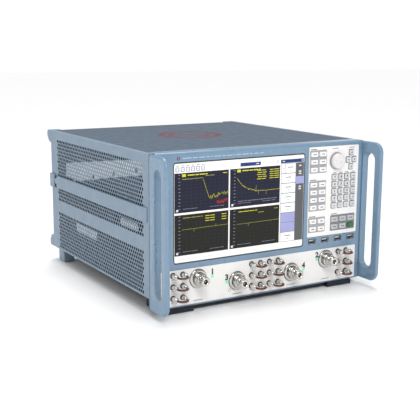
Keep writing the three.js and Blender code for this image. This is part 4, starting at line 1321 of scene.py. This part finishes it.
def rear_feet():
    """A plain block with a rubber pad."""
    box = box_of("rear_foot_right")

    def inside(inset, corner=3):
        return rounded(box.x0 + inset, box.x1 - inset, box.y0 + inset, box.y1 - inset, corner)

    layers = [(1.6, 0), (0.4, 1.2), (0, 3), (0, box.z1 - 2), (0.3, box.z1)]
    block = Shape().stack([(inside(inset), z) for inset, z in layers], "top")
    block.stack([(inside(4), z) for z in (0, 1.5)], "top", 1)
    pair("foot_rear", block, [CASE_PAINT, RUBBER], "foot_rubber", "rear_foot")


def bumpers():
    """Corner bumpers on the rear, with a screw well in each."""
    for place, inward in (("top", -1), ("bottom", 1)):
        box = box_of(f"bumper_{place}_right")
        edge, far = (box.z1, box.z0) if inward < 0 else (box.z0, box.z1)
        end = box.y1
        slope = box.y0 + (end - box.y0) * 0.65
        outline = [(box.y0, edge), (end - 3, edge), (end, edge + inward * 3.5),
                   (end, edge + inward * 12), (slope, edge + inward * 22), (box.y0, far)]
        shape = Shape().plate([outline], "side", box.x0, box.x1, 1.6, steps=3)
        z = edge + inward * 8
        well = [(5.2, end - 0.4), (5, end - 0.05), (4.2, end - 0.05), (4, end - 0.4)]
        head = [(3.3, end - 0.4), (3.2, end - 0.1), (2.6, end)]
        shape.turned(box.x, z, well, 1, 28)
        shape.turned(box.x, z, head, 2, 28)
        paints = [CASE_PAINT, BLACK, ZINC]
        pair(f"rear_bumper_{place}", shape, paints, "bumper_plastic", f"bumper_{place}")


# ---------- Rear ----------
SHEET_BACK = SIDE.y1 - GAP  # the rear panel's outer face
FAN = box_of("fan_rotor")
FAN_OPENING = 44
JACK_XS, JACK_ZS = (-100, -72, -44, -16), (218, 188)
LONG_X, LONG_ZS = -168, (214, 184)
LABEL_Z = 203
REAR_PLASTIC, REAR_METAL, REAR_GOLD, REAR_INK = 1, 2, 3, 4


def fan_guard(shape, front):
    """Five round wires on four bars with screws, and the motor behind them."""
    thick, turns = 0.9, [TAU * i / 8 for i in range(8)]
    for radius in range(12, 47, 8):
        wire = [(circle(FAN.x, FAN.z, radius + thick * math.cos(t), 64),
                 SHEET_BACK - 0.4 + thick * math.sin(t)) for t in turns]
        shape.stack(wire + wire[:1], "front", REAR_PLASTIC, False, False)
    start, end = 10, FAN_OPENING + 5
    for quarter in range(4):
        turn = TAU * (quarter + 0.5) / 4
        c, s = math.cos(turn), math.sin(turn)
        bar = [(FAN.x + r * c - w * s, FAN.z + r * s + w * c)
               for r, w in ((start, -1), (end, -1), (end, 1), (start, 1))]
        shape.plate([bar], "front", SHEET_BACK - 2, SHEET_BACK - 0.9, 0.3, REAR_PLASTIC)
        bolt = [(3.4, SHEET_BACK - 1), (3.4, SHEET_BACK + 0.8), (2.6, SHEET_BACK + 1.4),
                (0.6, SHEET_BACK + 1.5)]
        shape.turned(FAN.x + (end - 2) * c, FAN.z + (end - 2) * s, bolt, REAR_PLASTIC, 24)
    motor = [(12, front), (12, SHEET_BACK - 1), (3, front - 0.5), (2.9, FAN.y - 2)]
    shape.turned(FAN.x, FAN.z, motor, REAR_PLASTIC, 32)


def rear_jack(shape, x, z):
    """A coaxial jack with a hexagon base."""
    base = [(8, 0), (8.4, 0.5), (8.4, 2.4), (7.4, 3)]
    layers = [(circle(x, z, radius, 6), SHEET_BACK + out) for radius, out in base]
    shape.stack(layers, "front", REAR_METAL)
    end = REAR.y1
    threaded(shape, x, z, 5.5, SHEET_BACK + 2.5, end - 0.6, paint=REAR_METAL, sides=32)
    mouth = [(5.4, end - 0.8), (5.2, end), (3.6, end), (3.5, end - 6), (1.2, end - 6), (0.8, end - 1.5),
             (0.2, end - 1.2)]
    shape.turned(x, z, mouth, REAR_METAL, 32)


def long_connector(shape, z):
    """A metal shell around two rows of pins, with a screw nut at each end."""
    shell = [(44, 13, 3, 0), (44, 13, 3, 1.2), (32, 11, 3, 1.4), (31.6, 10.6, 3, 6.2), (30, 9, 2.6, 6.2),
             (30, 9, 2.6, 2)]
    shape.stack([(tile(LONG_X, z, width, height, corner), SHEET_BACK + out)
                 for width, height, corner, out in shell], "front", REAR_METAL)
    nut = [(2.6, 1), (2.6, 5), (1.3, 5), (1.3, 3)]
    for side in (-19, 19):
        shape.turned(LONG_X + side, z, [(r, SHEET_BACK + out) for r, out in nut], REAR_METAL, 6)
    shape.block(LONG_X, z, 28, 7.2, SHEET_BACK + 1.5, SHEET_BACK + 4.5, 0.4, 2, REAR_PLASTIC)
    pin = [(0.5, SHEET_BACK + 4), (0.5, SHEET_BACK + 5.6), (0.2, SHEET_BACK + 5.9)]
    for row, count in ((1.6, 9), (-1.6, 8)):
        for i in range(count):
            shape.turned(LONG_X + 2.9 * (i - (count - 1) / 2), z + row, pin, REAR_GOLD, 8)


def rear_panel():
    """The rear sheet with vent slots, fan guard, threaded jacks and two long connectors."""
    inlet = box_of("power_inlet")
    front = SHEET_BACK - 2.7
    holes = [circle(FAN.x, FAN.z, FAN_OPENING, 64),
             rounded(inlet.x0 + 3.5, inlet.x1 - 3.5, inlet.z0 + 3.5, inlet.z1 - 3.5, 1)]
    vents = [(-20 + 15 * column, 60 + 9 * row) for row in range(7) for column in range(4)]
    holes += [tile(x, z, 11, 3.4, 1.6) for x, z in vents]
    edge = rounded(REAR.x0, REAR.x1, REAR.z0, REAR.z1, 1)
    shape = Shape().plate([edge] + holes, "front", front, SHEET_BACK, 0.3)
    fan_guard(shape, front)
    for x in JACK_XS:
        for z in JACK_ZS:
            rear_jack(shape, x, z)
    for z in LONG_ZS:
        long_connector(shape, z)
    for x, length in zip(JACK_XS + (LONG_X,), (12, 9, 12, 8, 22)):
        label = tile(x, LABEL_Z, length, 1.2, 0.3)
        shape.plate([label], "front", SHEET_BACK, SHEET_BACK + 0.06, paint=REAR_INK)
    piece("rear_sheet", shape, [CASE_PAINT, BLACK, STEEL, GOLD, INK], "case_paint", "rear_panel")


def fan():
    """A seven-bladed rotor with twisted, swept blades."""
    x, z, near, far = FAN.x, FAN.z, FAN.y0, FAN.y1
    hub, tip, blades, chord = 15.0, 40.6, 7, 0.62
    body = [(3.4, near + 5), (3.4, near), (hub - 1.5, near), (hub, near + 1.5), (hub, far - 1),
            (hub - 1, far), (3.4, far)]
    shape = Shape().turned(x, z, body, sides=56)
    section = ((-1, 0), (-0.5, 0.8), (0, 1.0), (0.5, 0.7), (1, 0), (0.5, -0.3), (0, -0.2), (-0.5, -0.2))
    steps = 8
    for blade in range(blades):
        rings = []
        for share in (step / steps for step in range(steps + 1)):
            radius = hub - 1 + (tip - hub + 1) * share
            lead = TAU * blade / blades + 0.35 * share
            half = 6.0 - 2.2 * share
            ring = []
            for a, thick in section:
                turn = lead + a * chord * (0.55 + 0.15 * share) + thick * 0.7 / radius
                y = FAN.y + half * a + 0.3 * thick
                ring.append(Vector((x + radius * math.cos(turn), y, z + radius * math.sin(turn))))
            rings.append(ring)
        shape.loft(rings)
    piece("fan_blades", shape, BLACK, "black_plastic", "fan_rotor", smooth=45)


def mains_inlet():
    """An inlet with a chamfered socket, three flat contacts and a well for the rocker."""
    box = box_of("power_inlet")
    rocker = box_of("power_rocker")
    lip = SIDE.y1
    socket_x = box.x - 13
    socket = tile(socket_x, box.z, 25, 17, 3)
    well = rounded(rocker.x0 - 0.6, rocker.x1 + 0.6, box.z - 10.8, box.z + 10.8, 0.8)
    inner = rounded(box.x0 + 3.6, box.x1 - 3.6, box.z0 + 3.6, box.z1 - 3.6, 1)
    flange = rounded(box.x0, box.x1, box.z0, box.z1, 2.5)
    shape = Shape().plate([flange, socket, well], "front", lip, box.y1, 0.5)
    shape.plate([inner, socket, well], "front", box.y0 + 2, lip + 0.5)
    shape.plate([inner], "front", box.y0, box.y0 + 2.2, 0.4)
    for dx, dz in ((-7, -3), (0, 3), (7, -3)):
        shape.block(socket_x + dx, box.z + dz, 2, 5, lip - 18, lip - 4, 0.4, paint=1)
    piece("inlet_body", shape, [BLACK, STEEL], "black_plastic", "power_inlet")


def rocker_switch():
    """A rocker with two dished faces, pressed in at one end."""
    box = box_of("power_rocker")
    half, tilt = 10.0, math.radians(12)
    y0, z0 = SIDE.y1 - 3, box_of("power_inlet").z
    profile = [(-4, 1.4 - half), (1, 0.6 - half), (3.0, 0.8 - half), (2.7, -half / 2), (2.3, 0),
               (2.7, half / 2), (3.0, half - 0.8), (1, half - 0.6), (-4, half - 1.4)]
    c, s = math.cos(tilt), math.sin(tilt)
    turned = [(y0 + a * c - b * s, z0 + a * s + b * c) for a, b in profile]
    shape = Shape().plate([turned], "side", box.x0, box.x1, 0.4)
    piece("rocker_cap", shape, BLACK, "black_plastic", "power_rocker")


# ---------- All of it ----------
# The chassis takes the near-black inside finish, painted shade for the case's dark inside.
KEPT_NODES = {"display_module": BLACK, "key_board": BOARD, "chassis": DARK_INTERIOR_SHADE, "test_set": ALUMINIUM,
              "power_supply": ZINC, "main_board": BOARD}


def kept_nodes():
    """The CAD nodes that stay: modules and boards behind the panels."""
    for node, paint in KEPT_NODES.items():
        kept = frame["nodes"][node]
        kept.data.materials.clear()
        kept.data.materials.append(paint)


aim_camera()
studio()
front_frame()
usb_sockets()
frame_prints()
display()
key_panel()
keys()
knob()
port_panel()
for port_node, _, _ in TEST_PORTS:
    test_port(port_node)
for bank in JUMPER_BANKS:
    jumper_bank(bank)
handles()
side_panels()
inner_parts()
top_cover()
straps()
front_feet()
foot_flaps()
rear_feet()
bumpers()
rear_panel()
fan()
mains_inlet()
rocker_switch()
kept_nodes()
